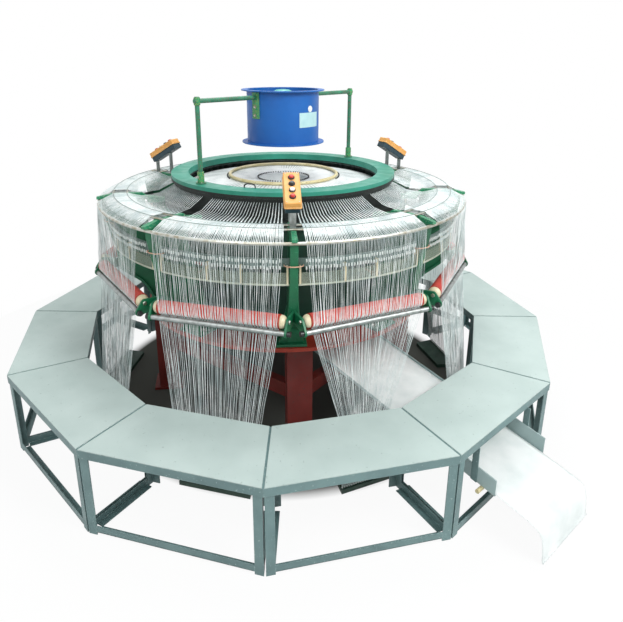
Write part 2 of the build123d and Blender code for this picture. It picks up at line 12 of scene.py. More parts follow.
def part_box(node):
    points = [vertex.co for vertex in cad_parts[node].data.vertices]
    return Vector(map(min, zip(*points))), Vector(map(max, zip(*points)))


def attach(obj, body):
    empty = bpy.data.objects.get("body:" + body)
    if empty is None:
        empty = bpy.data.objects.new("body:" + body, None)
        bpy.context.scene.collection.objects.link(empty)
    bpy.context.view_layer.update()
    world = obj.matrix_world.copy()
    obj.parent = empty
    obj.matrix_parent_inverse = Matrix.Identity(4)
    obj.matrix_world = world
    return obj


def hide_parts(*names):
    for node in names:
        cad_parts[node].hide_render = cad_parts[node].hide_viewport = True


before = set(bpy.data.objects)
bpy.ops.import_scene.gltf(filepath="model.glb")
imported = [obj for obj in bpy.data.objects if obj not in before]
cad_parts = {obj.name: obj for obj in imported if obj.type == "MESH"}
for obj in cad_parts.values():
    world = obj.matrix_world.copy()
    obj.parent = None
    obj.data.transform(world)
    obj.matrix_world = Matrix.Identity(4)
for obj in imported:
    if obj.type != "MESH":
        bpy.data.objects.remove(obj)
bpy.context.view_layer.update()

random.seed(7)

# ---- sizes the solids give
# _R is a radius, _A a distance out square to a bay, _Z a height and _HALF half a length or width
SECTORS = 9
STEP = 40.0
ARM_PHASE = -87.5
BAY_PHASE = ARM_PHASE + STEP / 2
CHUTE_ANGLE = -49.5
PIN = 0.0004                       # what a laid-on piece stands clear of its seat

ring_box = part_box("warp_rings")
RING_ROD = 0.008
RING_R = ring_box[1][0] - RING_ROD
RING_Z = ring_box[0][2] + RING_ROD
MIDDLE_R, INNER_R = 0.9645, 0.892
LAY_Z = ring_box[1][2]             # crown of the two inner rings
ROLLER_R, ROLLER_A, ROLLER_Z, ROLLER_HALF = 0.033, 1.006, 0.877, 0.30015
ROD_R, ROD_A, ROD_Z = 0.013, 1.036, 0.834
LUG_OUT = 0.33815
GUIDE_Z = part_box("floor_guides")[1][2]
GUIDE_A = 1.134
RACE_WALL, RACE_LEDGE_Z = 0.632, 1.234
REED_IN, REED_OUT = 0.5562, 0.5745
REED_LOW, REED_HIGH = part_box("reed_ring")[0][2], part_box("reed_ring")[1][2]
GREEN_TOP, GREEN_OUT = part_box("green_ring")[1][2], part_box("green_ring")[1][0]
WARP_ARC = 17.4
RAIL_R = 0.974
COLUMN_R, FOOT_TOP = 0.730, 0.634
FAN_R = 0.204
LABEL_ANGLE, LABEL_TOP = -44.0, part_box("fan_label")[1][2]

# ---- camera
FOCAL_PX, FRAME_W, FRAME_H, SENSOR_MM = 587.355, 623, 622, 36
CENTRE_U, CENTRE_V = 303.98, 252.93
EYE = Vector((0, -3.4346, 1.9993))
YAW, PITCH, ROLL = 0.0359, 0.3236, 0.0039

ahead = Vector((sin(YAW) * cos(PITCH), cos(YAW) * cos(PITCH), -sin(PITCH)))
right = Vector((cos(YAW), -sin(YAW), 0))
up = right.cross(ahead)
right_rolled = right * cos(ROLL) + up * sin(ROLL)
up_rolled = up * cos(ROLL) - right * sin(ROLL)

camera_data = bpy.data.cameras.new("camera")
camera_data.sensor_width = SENSOR_MM
camera_data.lens = FOCAL_PX / FRAME_W * SENSOR_MM
camera_data.shift_x = (FRAME_W / 2 - CENTRE_U) / FRAME_W
camera_data.shift_y = (CENTRE_V - FRAME_H / 2) / FRAME_W
camera_data.clip_end = 60
camera = bpy.data.objects.new("camera", camera_data)
turn = Matrix((right_rolled, up_rolled, -ahead)).transposed()
camera.matrix_world = Matrix.Translation(EYE) @ turn.to_4x4()
bpy.context.collection.objects.link(camera)
bpy.context.scene.camera = camera


# ---- finishes
def linear(code):
    """An sRGB hex colour as linear red, green, blue and alpha."""
    parts = [int(code[k:k + 2], 16) / 255 for k in (1, 3, 5)]
    return [p / 12.92 if p <= 0.04045 else ((p + 0.055) / 1.055) ** 2.4 for p in parts] + [1.0]


def add(tree, kind, inputs=None, out=0, **settings):
    """A node with its settings and its inputs, each a value or another node's output; gives one of its outputs."""
    made = tree.nodes.new("ShaderNode" + kind)
    for key, value in settings.items():
        setattr(made, key, value)
    for key, value in (inputs or {}).items():
        if isinstance(value, bpy.types.NodeSocket):
            tree.links.new(value, made.inputs[key])
        else:
            made.inputs[key].default_value = value
    return made.outputs[out] if len(made.outputs) else made


def blank(name, roughness, **sockets):
    """A new finish: its material, its node tree and its shader."""
    made = bpy.data.materials.new(name)
    made.use_nodes = True
    shader = made.node_tree.nodes["Principled BSDF"]
    shader.inputs["Roughness"].default_value = roughness
    for key, value in sockets.items():
        shader.inputs[key.replace("_", " ")].default_value = value
    return made, made.node_tree, shader


def drifting(name, colour, shade, roughness, cloud_mm, detail, span, **sockets):
    """A new finish whose tone drifts from one colour to another: also gives its coordinates, cloud and tone."""
    made, tree, shader = blank(name, roughness, **sockets)
    where = add(tree, "TexCoord", out="Object")
    cloud = add(tree, "TexNoise", {"Vector": where, "Scale": 1000 / cloud_mm, "Detail": detail})
    cloud = add(tree, "MapRange", {"Value": cloud, "From Min": span[0], "From Max": span[1]})
    tone = add(tree, "Mix", {0: cloud, 6: linear(colour), 7: linear(shade)}, 2, data_type="RGBA")
    return made, tree, shader, where, cloud, tone


def break_shine(tree, shader, where, grain_mm, detail, low, high):
    """Lets the roughness wander between two values."""
    shine = add(tree, "TexNoise", {"Vector": where, "Scale": 1000 / grain_mm, "Detail": detail})
    shine = add(tree, "MapRange", {"Value": shine, "From Min": 0.3, "From Max": 0.7, "To Min": low, "To Max": high})
    tree.links.new(shine, shader.inputs["Roughness"])


def enamel(name, colour, shade, worn, roughness, drift_mm, chip_mm, rare, rubbed=0.55):
    """Sprayed or brushed machine enamel on steel or cast iron: the tone drifts over a hand's width, grime and small
    chips show another tone, edges are rubbed pale, and the shine is broken by the paint's orange peel."""
    made, tree, shader, where, _, tone = drifting(name, colour, shade, roughness, drift_mm, 4.0, (0.35, 0.68))
    speck = add(tree, "TexNoise", {"Vector": where, "Scale": 1000 / chip_mm, "Detail": 6.0})
    chips = add(tree, "MapRange", {"Value": speck, "From Min": rare, "From Max": rare + 0.05})
    # Edges within 4 mm of a corner are rubbed through in places
    rounded = add(tree, "Bevel", {"Radius": 0.004}, samples=4)
    flat = add(tree, "NewGeometry", out="Normal")
    sharp = add(tree, "VectorMath", {0: rounded, 1: flat}, "Value", operation="DOT_PRODUCT")
    sharp = add(tree, "MapRange", {"Value": sharp, "From Min": 0.97, "From Max": 0.80})
    patchy = add(tree, "MapRange", {"Value": speck, "From Min": 0.42, "From Max": 0.60, "To Max": rubbed})
    rub = add(tree, "Math", {0: sharp, 1: patchy}, operation="MULTIPLY")
    wear = add(tree, "Math", {0: chips, 1: rub}, operation="MAXIMUM")
    coat = add(tree, "Mix", {0: wear, 6: tone, 7: linear(worn)}, 2, data_type="RGBA")
    tree.links.new(coat, shader.inputs["Base Color"])
    break_shine(tree, shader, where, 60, 4.0, roughness - 0.08, roughness + 0.12)
    # Orange peel, 3 mm from crest to crest, over edges with a soft paint radius
    peel = add(tree, "TexNoise", {"Vector": where, "Scale": 1000 / 3, "Detail": 2.0})
    soft = add(tree, "Bevel", {"Radius": 0.0015}, samples=4)
    relief = add(tree, "Bump", {"Height": peel, "Distance": 0.00012, "Strength": 1.0, "Normal": soft})
    tree.links.new(relief, shader.inputs["Normal"])
    return made


def bare_metal(name, colour, dull, roughness, grain_mm=1.2):
    """Turned, drawn or plated metal left bare: bright, with fine tooling marks and duller handled patches."""
    made, tree, shader, where, _, tone = drifting(name, colour, dull, roughness, 25, 3.0, (0.4, 0.65), Metallic=1.0)
    tree.links.new(tone, shader.inputs["Base Color"])
    break_shine(tree, shader, where, grain_mm, 3.0, roughness - 0.06, roughness + 0.12)
    return made


def moulded(name, colour, shade, roughness, grain_mm=2.0):
    """Moulded plastic, rubber or glazed ceramic: one tone that drifts a little, with the mould's faint grain."""
    made, tree, shader, where, _, tone = drifting(name, colour, shade, roughness, 40, 3.0, (0.3, 0.7))
    tree.links.new(tone, shader.inputs["Base Color"])
    grain = add(tree, "TexNoise", {"Vector": where, "Scale": 1000 / grain_mm, "Detail": 2.0})
    relief = add(tree, "Bump", {"Height": grain, "Distance": 0.00005, "Strength": 1.0})
    tree.links.new(relief, shader.inputs["Normal"])
    return made


def slit_tape(name, colour, shade, thin):
    """Slit and drawn polypropylene tape: satin white, milky where it thins, each tape a little off the next."""
    # Neighbouring tapes differ over about 14 mm, and each tape along some 90 mm
    made, tree, shader, where, cloud, tone = drifting(name, colour, shade, 0.38, 14, 2.0, (0.35, 0.65))
    length = add(tree, "TexNoise", {"Vector": where, "Scale": 1000 / 90, "Detail": 1.0})
    length = add(tree, "MapRange", {"Value": length, "From Min": 0.45, "From Max": 0.7})
    tone = add(tree, "Mix", {0: length, 6: tone, 7: linear(thin)}, 2, data_type="RGBA")
    tree.links.new(tone, shader.inputs["Base Color"])
    shine = add(tree, "MapRange", {"Value": cloud, "To Min": 0.3, "To Max": 0.5})
    tree.links.new(shine, shader.inputs["Roughness"])
    return made


def tape_cloth(name, colour, shade, tape_mm):
    """Plain-woven tape cloth: the tapes' over and under is a fine check, drawn darker where a tape goes under as
    painted shade, and soft grey patches a hand apart are painted shade of creases. The real tapes are 2.5 mm wide;
    they are drawn twice as coarse so that the check shows."""
    # Painted shade: soft grey patches a hand apart stand for the shade in creases
    made, tree, shader, where, cloud, tone = drifting(name, colour, shade, 0.5, 150, 5.0, (0.38, 0.72),
                                                      Sheen_Weight=0.15)
    check = add(tree, "TexChecker", {"Vector": where, "Scale": 1000 / tape_mm}, "Fac")
    # Painted shade: where a tape goes under, the check is drawn darker
    under = add(tree, "Math", {0: check, 1: 0.3}, operation="MULTIPLY")
    tone = add(tree, "Mix", {0: under, 6: tone, 7: linear(shade)}, 2, data_type="RGBA")
    # Round the reed, where the tapes still fan in one by one, the dark shed seen through the gaps between them is
    # painted as dark slits, which is painted shade: 110 round the machine
    painted_gap_shade = add(tree, "TexGradient", {"Vector": where}, "Fac", gradient_type="RADIAL")
    painted_gap_shade = add(tree, "Math", {0: painted_gap_shade, 1: 110 * 2 * pi}, operation="MULTIPLY")
    painted_gap_shade = add(tree, "Math", {0: painted_gap_shade}, operation="SINE")
    painted_gap_shade = add(tree, "MapRange", {"Value": painted_gap_shade, "From Min": 0.45, "From Max": 0.95, "To Max": 0.8})
    ragged = add(tree, "MapRange", {"Value": cloud, "From Min": 0.1, "From Max": 0.6})
    painted_gap_shade = add(tree, "Math", {0: painted_gap_shade, 1: ragged}, operation="MULTIPLY")
    height = add(tree, "SeparateXYZ", {"Vector": where}, "Z")
    new_cloth = add(tree, "MapRange", {"Value": height, "From Min": 1.290, "From Max": 1.296})
    painted_gap_shade = add(tree, "Math", {0: painted_gap_shade, 1: new_cloth}, operation="MULTIPLY")
    # Painted shade: the slits between the tapes are drawn dark grey
    tone = add(tree, "Mix", {0: painted_gap_shade, 6: tone, 7: linear("#4E5A58")}, 2, data_type="RGBA")
    tree.links.new(tone, shader.inputs["Base Color"])
    relief = add(tree, "Bump", {"Height": check, "Distance": 0.0002, "Strength": 1.0})
    tree.links.new(relief, shader.inputs["Normal"])
    return made


def clear_pvc(name, colour, shade, cover):
    """Extruded clear PVC strip gone smoky with age: what lies behind shows through, and dust greys it in patches."""
    made, tree, shader, _, _, tone = drifting(name, colour, shade, 0.32, 60, 4.0, (0.3, 0.7), Alpha=cover)
    tree.links.new(tone, shader.inputs["Base Color"])
    return made


table_sheet = enamel("grey_enamelled_table_sheet", "#BCCCC8", "#AFC0BC", "#94A6A2", 0.5, 260, 14, 0.68, 0.9)
angle_iron = enamel("grey_enamelled_angle_iron", "#6E8A8A", "#5F797A", "#A9BDBA", 0.45, 150, 8, 0.66, 0.8)
chute_sheet = enamel("grey_enamelled_chute_sheet", "#A8BCBC", "#98AEAE", "#C9D6D4", 0.42, 200, 8, 0.70, 0.8)
oxide_red = enamel("oxide_red_base_enamel", "#6E1A10", "#5A1209", "#44221C", 0.5, 160, 12, 0.62)
signal_red = enamel("orange_red_rim_enamel", "#B03A26", "#96301C", "#6E2A1E", 0.5, 120, 8, 0.64)
casting_green = enamel("green_enamelled_casting", "#127048", "#0D5237", "#48967A", 0.42, 140, 7, 0.68, 0.8)
guide_green = enamel("green_enamelled_guide_board", "#123C2C", "#0E3024", "#3E6A56", 0.5, 120, 7, 0.66)
drum_green = enamel("green_enamelled_drum", "#0F4634", "#0B3629", "#245A44", 0.5, 200, 10, 0.70)
arm_green = enamel("green_enamelled_arm", "#259064", "#1A7452", "#A8BCA4", 0.42, 60, 5, 0.60, 0.9)
ring_green = enamel("mint_enamelled_ring", "#309680", "#25856E", "#6CBFA8", 0.38, 120, 6, 0.74, 0.7)
race_green = enamel("dark_green_race", "#0C1613", "#080F0C", "#2C4038", 0.55, 90, 5, 0.62, 0.9)
post_green = enamel("green_enamelled_pipe", "#2F8464", "#256E52", "#6E4A38", 0.42, 50, 5, 0.56)
clamp_green = enamel("green_enamelled_clamp", "#2F9A66", "#24804F", "#A89A4A", 0.42, 30, 4, 0.56, 0.9)
fan_blue = enamel("blue_enamelled_fan_sheet", "#0762B4", "#0756A4", "#5E9BD8", 0.42, 200, 6, 0.80, 0.7)
motor_teal = enamel("teal_enamelled_motor", "#4FB2AA", "#2E9A94", "#8ED0C6", 0.4, 60, 5, 0.66)
box_orange = enamel("orange_enamelled_box", "#EBAE62", "#E0A04E", "#F6DDB4", 0.38, 50, 5, 0.76, 0.9)
ring_cream = enamel("cream_enamelled_ring", "#E0D6AE", "#CFC08C", "#8E7A48", 0.45, 40, 4, 0.60, 0.7)
rail_grey = enamel("grey_enamelled_rail", "#6F8680", "#5C726C", "#A8B8B0", 0.45, 80, 5, 0.64)
bright_steel = bare_metal("drawn_bright_steel_rod", "#DADDDD", "#B4B8B6", 0.26)
turned_steel = bare_metal("turned_steel", "#A9AFAE", "#8A8F8C", 0.4)
zinc_steel = bare_metal("zinc_plated_fastener", "#C9CBC4", "#A8A28E", 0.35)
cast_blade = bare_metal("cast_aluminium_blade", "#AEB5B8", "#8C9498", 0.45, 2.0)
reed_steel = bare_metal("blued_steel_reed_dent", "#4A5250", "#2E3432", 0.42)
roller_rubber = moulded("red_rubber_roller", "#DE5648", "#CB4238", 0.5, 1.5)
cap_cream = moulded("cream_nylon_cap", "#E6DCC0", "#D8CBA6", 0.38)
knob_black = moulded("black_bakelite", "#17191A", "#222526", 0.3)
base_slate = moulded("slate_moulded_box_base", "#24404A", "#1B343E", 0.42)
eye_ceramic = moulded("white_glazed_ceramic", "#F2F5F3", "#E0E8E4", 0.2)
label_foil = moulded("pale_blue_label_foil", "#BFE3E6", "#B0D7DC", 0.3)
label_disc = moulded("white_vinyl_label", "#F2F4F2", "#E6EAE8", 0.4)
button_red = moulded("red_moulded_button", "#C8342A", "#B22A20", 0.3)
button_grey = moulded("dark_grey_moulded_button", "#2A2F30", "#343A3C", 0.3)
button_white = moulded("white_moulded_button", "#F3F1EA", "#E6E3DA", 0.3)
loop_wire = moulded("peach_plastic_coated_wire", "#E2B49A", "#D4A286", 0.4)
warp_tape = slit_tape("white_polypropylene_tape", "#F0F5F4", "#D6E1E0", "#C2D0D0")
loom_cloth = tape_cloth("white_tubular_cloth", "#F2F5F4", "#D4DCDB", 5)
smoky_pvc = clear_pvc("smoky_clear_pvc", "#A6AF9C", "#8E9A8C", 0.42)
edge_pvc = clear_pvc("thick_clear_pvc_edge", "#D2D8C6", "#BCC5B2", 0.85)

for node_name, made in {
    "walkway_tops": table_sheet, "walkway_legs": angle_iron, "walkway_rails": angle_iron,
    "base_frame": oxide_red, "base_top": signal_red, "cam_housing": drum_green, "columns": casting_green,
    "arms": arm_green, "warp_rings": zinc_steel, "guide_rods": turned_steel, "rod_knobs": knob_black,
    "eye_rail": rail_grey, "stop_band": smoky_pvc, "band_clips": cap_cream, "floor_guides": guide_green,
    "shuttle_race": race_green, "green_ring": ring_green, "reed_ring": reed_steel, "weaving_ring": ring_cream,
    "cloth_chute": chute_sheet, "chute_bar": ring_cream, "chute_hangers": angle_iron, "fan_casing": fan_blue,
    "fan_motor": motor_teal, "fan_impeller": cast_blade, "fan_label": label_foil, "fan_posts": post_green,
    "fan_clamps": clamp_green, "box_covers": box_orange, "box_bases": base_slate, "box_posts": turned_steel,
    "push_buttons": button_red,
    **{f"feed_roller_{k + 1}": roller_rubber for k in range(SECTORS)},
}.items():
    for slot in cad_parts[node_name].material_slots:
        slot.material = made


# ---- mesh helpers
UP = Vector((0, 0, 1))
BAYS = [BAY_PHASE + STEP * k for k in range(SECTORS)]
ARMS = [ARM_PHASE + STEP * k for k in range(SECTORS)]


def polar(angle, r, z, side=0.0):
    """A point at an angle and a distance out, moved sideways by a length."""
    a = radians(angle)
    return Vector((r * cos(a) - side * sin(a), r * sin(a) + side * cos(a), z))


def outwards(angle):
    return polar(angle, 1, 0)


def sideways(angle):
    return polar(angle, 0, 0, 1)


def mix(a, b, f):
    return a + (b - a) * f


def spread(count):
    """Middles of so many equal shares of a width that runs from -1 to 1."""
    return [(2 * i + 1) / count - 1 for i in range(count)]


def round_section(r, z, rod, sides):
    """The outline of a round rod as (distance out, height) pairs."""
    return [(r + rod * cos(2 * pi * j / sides), z + rod * sin(2 * pi * j / sides)) for j in range(sides)]


def bar_section(r_in, r_out, low_z, high_z):
    """The outline of a flat bar as (distance out, height) pairs."""
    return [(r_in, low_z), (r_out, low_z), (r_out, high_z), (r_in, high_z)]


def arc_points(centre_a, centre_z, radius, start, end, steps):
    """Points round a bar, as distance out and height: angles count up from pointing outwards."""
    turns = [radians(start + (end - start) * k / steps) for k in range(steps + 1)]
    return [(centre_a + radius * cos(a), centre_z + radius * sin(a)) for a in turns]


def piece(name, verts, faces, material, body, smooth):
    mesh = bpy.data.meshes.new(name)
    mesh.from_pydata([tuple(v) for v in verts], [], faces)
    mesh.validate()
    mesh.update()
    made = bpy.data.objects.new(name, mesh)
    bpy.context.collection.objects.link(made)
    made.data.materials.append(material)
    for face in mesh.polygons:
        face.use_smooth = smooth
    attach(made, body)
    return made


class Heap:
    """Vertices and faces of one piece, gathered from many closed shapes."""

    def __init__(self):
        self.verts, self.faces = [], []

    def rings(self, loops, closed_ends=True):
        """Joins loops of equal length into a closed skin."""
        start, n = len(self.verts), len(loops[0])
        for loop in loops:
            self.verts += loop
        for k in range(len(loops) - 1):
            for j in range(n):
                a, b = start + k * n + j, start + k * n + (j + 1) % n
                self.faces.append((a, b, b + n, a + n))
        if closed_ends:
            self.faces.append(tuple(start + j for j in reversed(range(n))))
            self.faces.append(tuple(start + (len(loops) - 1) * n + j for j in range(n)))

    def tape(self, path, across, widths):
        """A flat tape along a path: two edges and a low ridge on its outer side."""
        loops = []
        for k, point in enumerate(path):
            ahead_of = path[min(k + 1, len(path) - 1)] - path[max(k - 1, 0)]
            out = across[k].cross(ahead_of).normalized()
            half = widths[k] / 2
            loops.append([point - across[k] * half, point + out * TAPE_LIFT, point + across[k] * half])
        self.rings(loops)

    def tube(self, path, radius, sides):
        """A round tube along a path, with no twist."""
        side, loops = UP, []
        for k, point in enumerate(path):
            ahead_of = (path[min(k + 1, len(path) - 1)] - path[max(k - 1, 0)]).normalized()
            side = side - ahead_of * side.dot(ahead_of)
            if side.length < 1e-6:
                side = ahead_of.orthogonal()
            side.normalize()
            loops.append(circle_round(point, side, ahead_of.cross(side), radius, sides))
        self.rings(loops)

    def block(self, centre, angle, size, edge):
        """A block set square to a spoke, with bevelled edges round its top and bottom."""
        x_dir, y_dir = outwards(angle), sideways(angle)
        hx, hy, hz = size[0] / 2, size[1] / 2, size[2] / 2
        loops = []
        for drop, inset in ((-hz, edge), (-hz + edge, 0), (hz - edge, 0), (hz, edge)):
            a, b = hx - inset, hy - inset
            loops.append([centre + x_dir * sx * a + y_dir * sy * b + UP * drop
                          for sx, sy in ((-1, -1), (1, -1), (1, 1), (-1, 1))])
        self.rings(loops)

    def lathe(self, centre, axis, profile, sides):
        """A turned shape: profile gives (distance along the axis, radius) pairs."""
        axis = axis.normalized()
        side = axis.orthogonal().normalized()
        self.rings([circle_round(centre + axis * s, side, axis.cross(side), r, sides) for s, r in profile])

    def hoop(self, profile, sides=96):
        """A ring round the machine's axis: profile is a closed outline of (distance out, height) pairs."""
        start, n = len(self.verts), len(profile)
        for k in range(sides):
            self.verts += [polar(360 * k / sides, r, z) for r, z in profile]
            here, following = start + k * n, start + (k + 1) % sides * n
            for j in range(n):
                self.faces.append((here + j, following + j, following + (j + 1) % n, here + (j + 1) % n))

    def prism(self, middle, plan, low_z, high_z):
        """An upright piece over a plan, which is given from the axis along a table's middle line."""
        self.rings([[polar(middle, p.x, z, p.y) for p in plan] for z in (low_z, high_z)])

    def slab(self, corners, thickness):
        """A plate between its corners and the same corners moved by its thickness."""
        self.rings([corners, [c + thickness for c in corners]])

    def arc_strip(self, middle, half, section, steps=24):
        """A strip bent round the machine's axis, standing on edge."""
        self.rings([[polar(middle + half * (2 * j / steps - 1), r, z) for r, z in section]
                    for j in range(steps + 1)])

    def hex_bolt(self, seat, axis, across_flats, head):
        """A bolt head with its washer, standing on a face."""
        r, washer = across_flats / 2 / cos(pi / 6), 0.0014
        self.lathe(seat, axis, [(0, r * 1.25), (washer, r * 1.25)], 12)
        self.lathe(seat + axis.normalized() * washer, axis, [(0, r), (head * 0.8, r), (head, r * 0.82)], 6)

    def make(self, name, material, body="root", smooth=False):
        return piece(name, self.verts, self.faces, material, body, smooth)


def circle_round(centre, side, other, radius, sides):
    return [centre + (side * cos(2 * pi * j / sides) + other * sin(2 * pi * j / sides)) * radius
            for j in range(sides)]


# ---- walkway frames
TABLES, TABLE_PHASE, SHEET_LOW = 12, -93.1, 0.436
HALF_TABLE = radians(15)
TABLE_IN, TABLE_OUT = 1.204 * cos(HALF_TABLE), 1.6 * cos(HALF_TABLE)
SEAM = 0.00015                     # half the seam between two tables
LEG, WALL = 0.040, 0.004           # angle iron: leg width and wall
FOOT_RAIL = 0.014                  # height of the low rail's underside
RAIL_START = 0.062                 # where the top rail starts from a corner


def table_corners(inset):
    """The four corners of a table's plan, drawn in from its edge, as (distance out, sideways) pairs."""
    low, high = TABLE_IN + inset, TABLE_OUT - inset
    side = (SEAM + inset) / cos(HALF_TABLE)
    slope = tan(HALF_TABLE)
    return [Vector((low, side - low * slope)), Vector((high, side - high * slope)),
            Vector((high, high * slope - side)), Vector((low, low * slope - side))]


def along_side(start, end, inset, width):
    """Plan of a bar along one side of a table, stopping short of each corner."""
    run = (end - start).normalized()
    inwards = Vector((-run.y, run.x))
    a, b = start + run * inset, end - run * inset
    return [a, b, b + inwards * width, a + inwards * width]


def angle_leg(corner, before, after):
    """Plan of an angle-iron leg in a table's corner."""
    one, two = (before - corner).normalized(), (after - corner).normalized()
    return [corner, corner + one * LEG, corner + one * LEG + two * WALL, corner + one * WALL + two * WALL,
            corner + one * WALL + two * LEG, corner + two * LEG]


def walkway():
    legs, rails = Heap(), Heap()
    edge, low = table_corners(0), table_corners(WALL)
    for t in range(TABLES):
        middle = TABLE_PHASE + 15 + 30 * t
        for k in range(4):
            following = (k + 1) % 4
            legs.prism(middle, angle_leg(low[k], low[k - 1], low[following]), 0, SHEET_LOW)
            rails.prism(middle, [edge[k], edge[following], low[following], low[k]], SHEET_LOW - LEG, SHEET_LOW)
            rails.prism(middle, along_side(low[k], low[following], RAIL_START, LEG - WALL),
                        SHEET_LOW - WALL, SHEET_LOW)
            if k < 3:
                rails.prism(middle, along_side(low[k], low[following], LEG, WALL), FOOT_RAIL, FOOT_RAIL + 0.034)
                rails.prism(middle, along_side(low[k], low[following], LEG + WALL, LEG - WALL),
                            FOOT_RAIL, FOOT_RAIL + WALL)
    made = legs.make("table_legs", angle_iron)
    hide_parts("walkway_legs")
    made = rails.make("table_rails", angle_iron)
    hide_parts("walkway_rails")


# ---- columns: flared faces, foot plates and bolts
# The face's line as (distance out, height), and half its width at each of its points
FLARE = [(0.790, 0.634), (0.812, 0.684), (0.834, 0.728), (0.862, 0.760), (0.910, 0.794), (0.946, 0.822),
         (0.966, 0.850), (0.9745, 0.890), (0.9805, 0.958), (1.004, 1.070), (1.0302, 1.195)]
FLARE_HALF = [0.064, 0.053, 0.046, 0.042, 0.036, 0.032, 0.029, 0.026, 0.0225, 0.0195, 0.0185]
FOOT_SIDE = 0.052                  # from a foot's middle to its bolts, sideways


def flare_loop(arm, n):
    """One section through a column's flared face, square to its line."""
    (r, z), half = FLARE[n], FLARE_HALF[n]
    (r0, z0), (r1, z1) = FLARE[max(n - 1, 0)], FLARE[min(n + 1, len(FLARE) - 1)]
    long = hypot(r1 - r0, z1 - z0)
    in_r, in_z = (-(z1 - z0) / long, (r1 - r0) / long) if n else (-1, 0)
    soft = half - 0.003
    return ([polar(arm, r + 0.0005, z, side) for side in (-soft, soft)]
            + [polar(arm, r + in_r * deep, z + in_z * deep, side)
               for deep, side in ((0.004, half), (0.014, half), (0.014, -half), (0.004, -half))])


def column_faces():
    flares, plates, foot_bolts = Heap(), Heap(), Heap()
    for arm in ARMS:
        flares.rings([flare_loop(arm, n) for n in range(len(FLARE))])
        plates.block(polar(arm, COLUMN_R, 0.62725), arm, (0.154, 0.154, 0.0141), 0.002)
        for out, side in ((-0.050, -FOOT_SIDE), (-0.050, FOOT_SIDE), (0.030, -FOOT_SIDE), (0.030, FOOT_SIDE)):
            foot_bolts.hex_bolt(polar(arm, COLUMN_R + out, FOOT_TOP + PIN, side), UP, 0.019, 0.011)
    flares.make("column_flared_faces", casting_green)
    plates.make("column_foot_plates", casting_green)
    foot_bolts.make("column_foot_bolts", zinc_steel)


# ---- warp tapes
TAPES = 84                         # in each bay
TAPE_LIFT = 0.0006                 # ridge along a tape's middle
CHUTE_PASS_Z, CHUTE_LEFT, CHUTE_RIGHT = 0.366, 0.104, 0.178
LOWER_HALF = 0.178
DROPS = 5                          # steps of an upper tape from the ring to the roller
RING_CLEAR, ROLLER_CLEAR = 0.0088, 0.0011
TOP_Z = LAY_Z + PIN
CROWN_Z = RING_Z + RING_ROD + PIN
BEND_R, BEND_Z = 1.004, 1.2652     # where a top tape bends down to the outer ring
TOP_WIDTHS = [0.0030, 0.0034, 0.0028, 0.0055, 0.0061, 0.0060, 0.0050, 0.0038, 0.0027, 0.0020]
UNDER_LINE = ((BEND_R, 1.2455), (MIDDLE_R, 1.2640), (INNER_R, 1.2645), (0.85, 1.256))
UNDER_WIDTHS = [0.0014, 0.0050, 0.0054, 0.0020]
ROLLER_WIDTHS = [0.0034, 0.0044, 0.0056, 0.0062, 0.0062]
ROD_WIDTHS = [0.0046] * 3


def twisted(bay, most):
    """The direction across a hanging tape, turned about its length by up to so many degrees."""
    turn_by = radians(random.uniform(-most, most))
    return -sideways(bay) * cos(turn_by) + outwards(bay) * sin(turn_by)


def top_tapes(top, under, bay, i, angle):
    """A tape over the rings, flat beside its neighbours, then in to the race, where three close over each other;
    under it lies one that fills the gap to the next."""
    close_to = bay + ((6 * (i // 3) + 3) / TAPES - 1) * WARP_ARC
    rise = 0.080 + 0.002 * (i % 3)
    shoulder = mix(CROWN_Z, BEND_Z, (RING_R - 1.021) / (RING_R - BEND_R))
    line = [(RING_R + 0.0055, RING_Z + 0.0066, 0), (RING_R, CROWN_Z, 0), (1.021, shoulder, 0), (BEND_R, BEND_Z, 0),
            (MIDDLE_R + 0.002, TOP_Z, 0), (INNER_R - 0.001, TOP_Z, 0.1), (0.866, TOP_Z - 0.008, 0.4),
            (0.812, TOP_Z - 0.022, 0.7), (0.72, RACE_LEDGE_Z + 0.006 + rise * 0.4, 0.86),
            (RACE_WALL + 0.0012, RACE_LEDGE_Z + rise, 0.9)]
    wander = random.uniform(-0.0005, 0.0005)
    path = [polar(mix(angle, close_to, f), r, z, wander if 0 < n < 6 else 0) for n, (r, z, f) in enumerate(line)]
    top.tape(path, [sideways(angle)] * len(path), TOP_WIDTHS)
    if i < TAPES - 1:
        path = [polar(angle + WARP_ARC / TAPES, r, z) for r, z in UNDER_LINE]
        under.tape(path, [sideways(angle)] * len(path), UNDER_WIDTHS)


def upper_tape(upper, k, i, turn_angle, u_low):
    """A tape from the outer ring down to the roller, then round it and the rod."""
    bay = BAYS[k]
    ring_side, ring_out = RING_R * sin(radians(turn_angle)), RING_R * cos(radians(turn_angle))
    clump = 0.0026 * sin(i * 1.7 + k * 2.1) + random.uniform(-0.0012, 0.0012)
    path, widths, turned = [], [], []
    for n in range(DROPS):
        f = n / DROPS
        out = mix(ring_out + RING_CLEAR, ROLLER_A + ROLLER_R + ROLLER_CLEAR, f)
        side = mix(ring_side, u_low, f) + clump * sin(pi * f)
        path.append(polar(bay, out, RING_Z - 0.002 + (ROLLER_Z + 0.002 - RING_Z) * f, side))
        widths.append(random.uniform(0.0016, 0.0030))
        turned.append(twisted(bay, 75 * (n > 0)))
    round_bars = arc_points(ROLLER_A, ROLLER_Z, ROLLER_R + PIN, -2, -72, 4)
    round_bars += arc_points(ROD_A, ROD_Z, ROD_R + PIN, 205, 262, 2)
    path += [polar(bay, out, z, u_low) for out, z in round_bars]
    upper.tape(path, turned + [-sideways(bay)] * len(round_bars), widths + ROLLER_WIDTHS + ROD_WIDTHS)


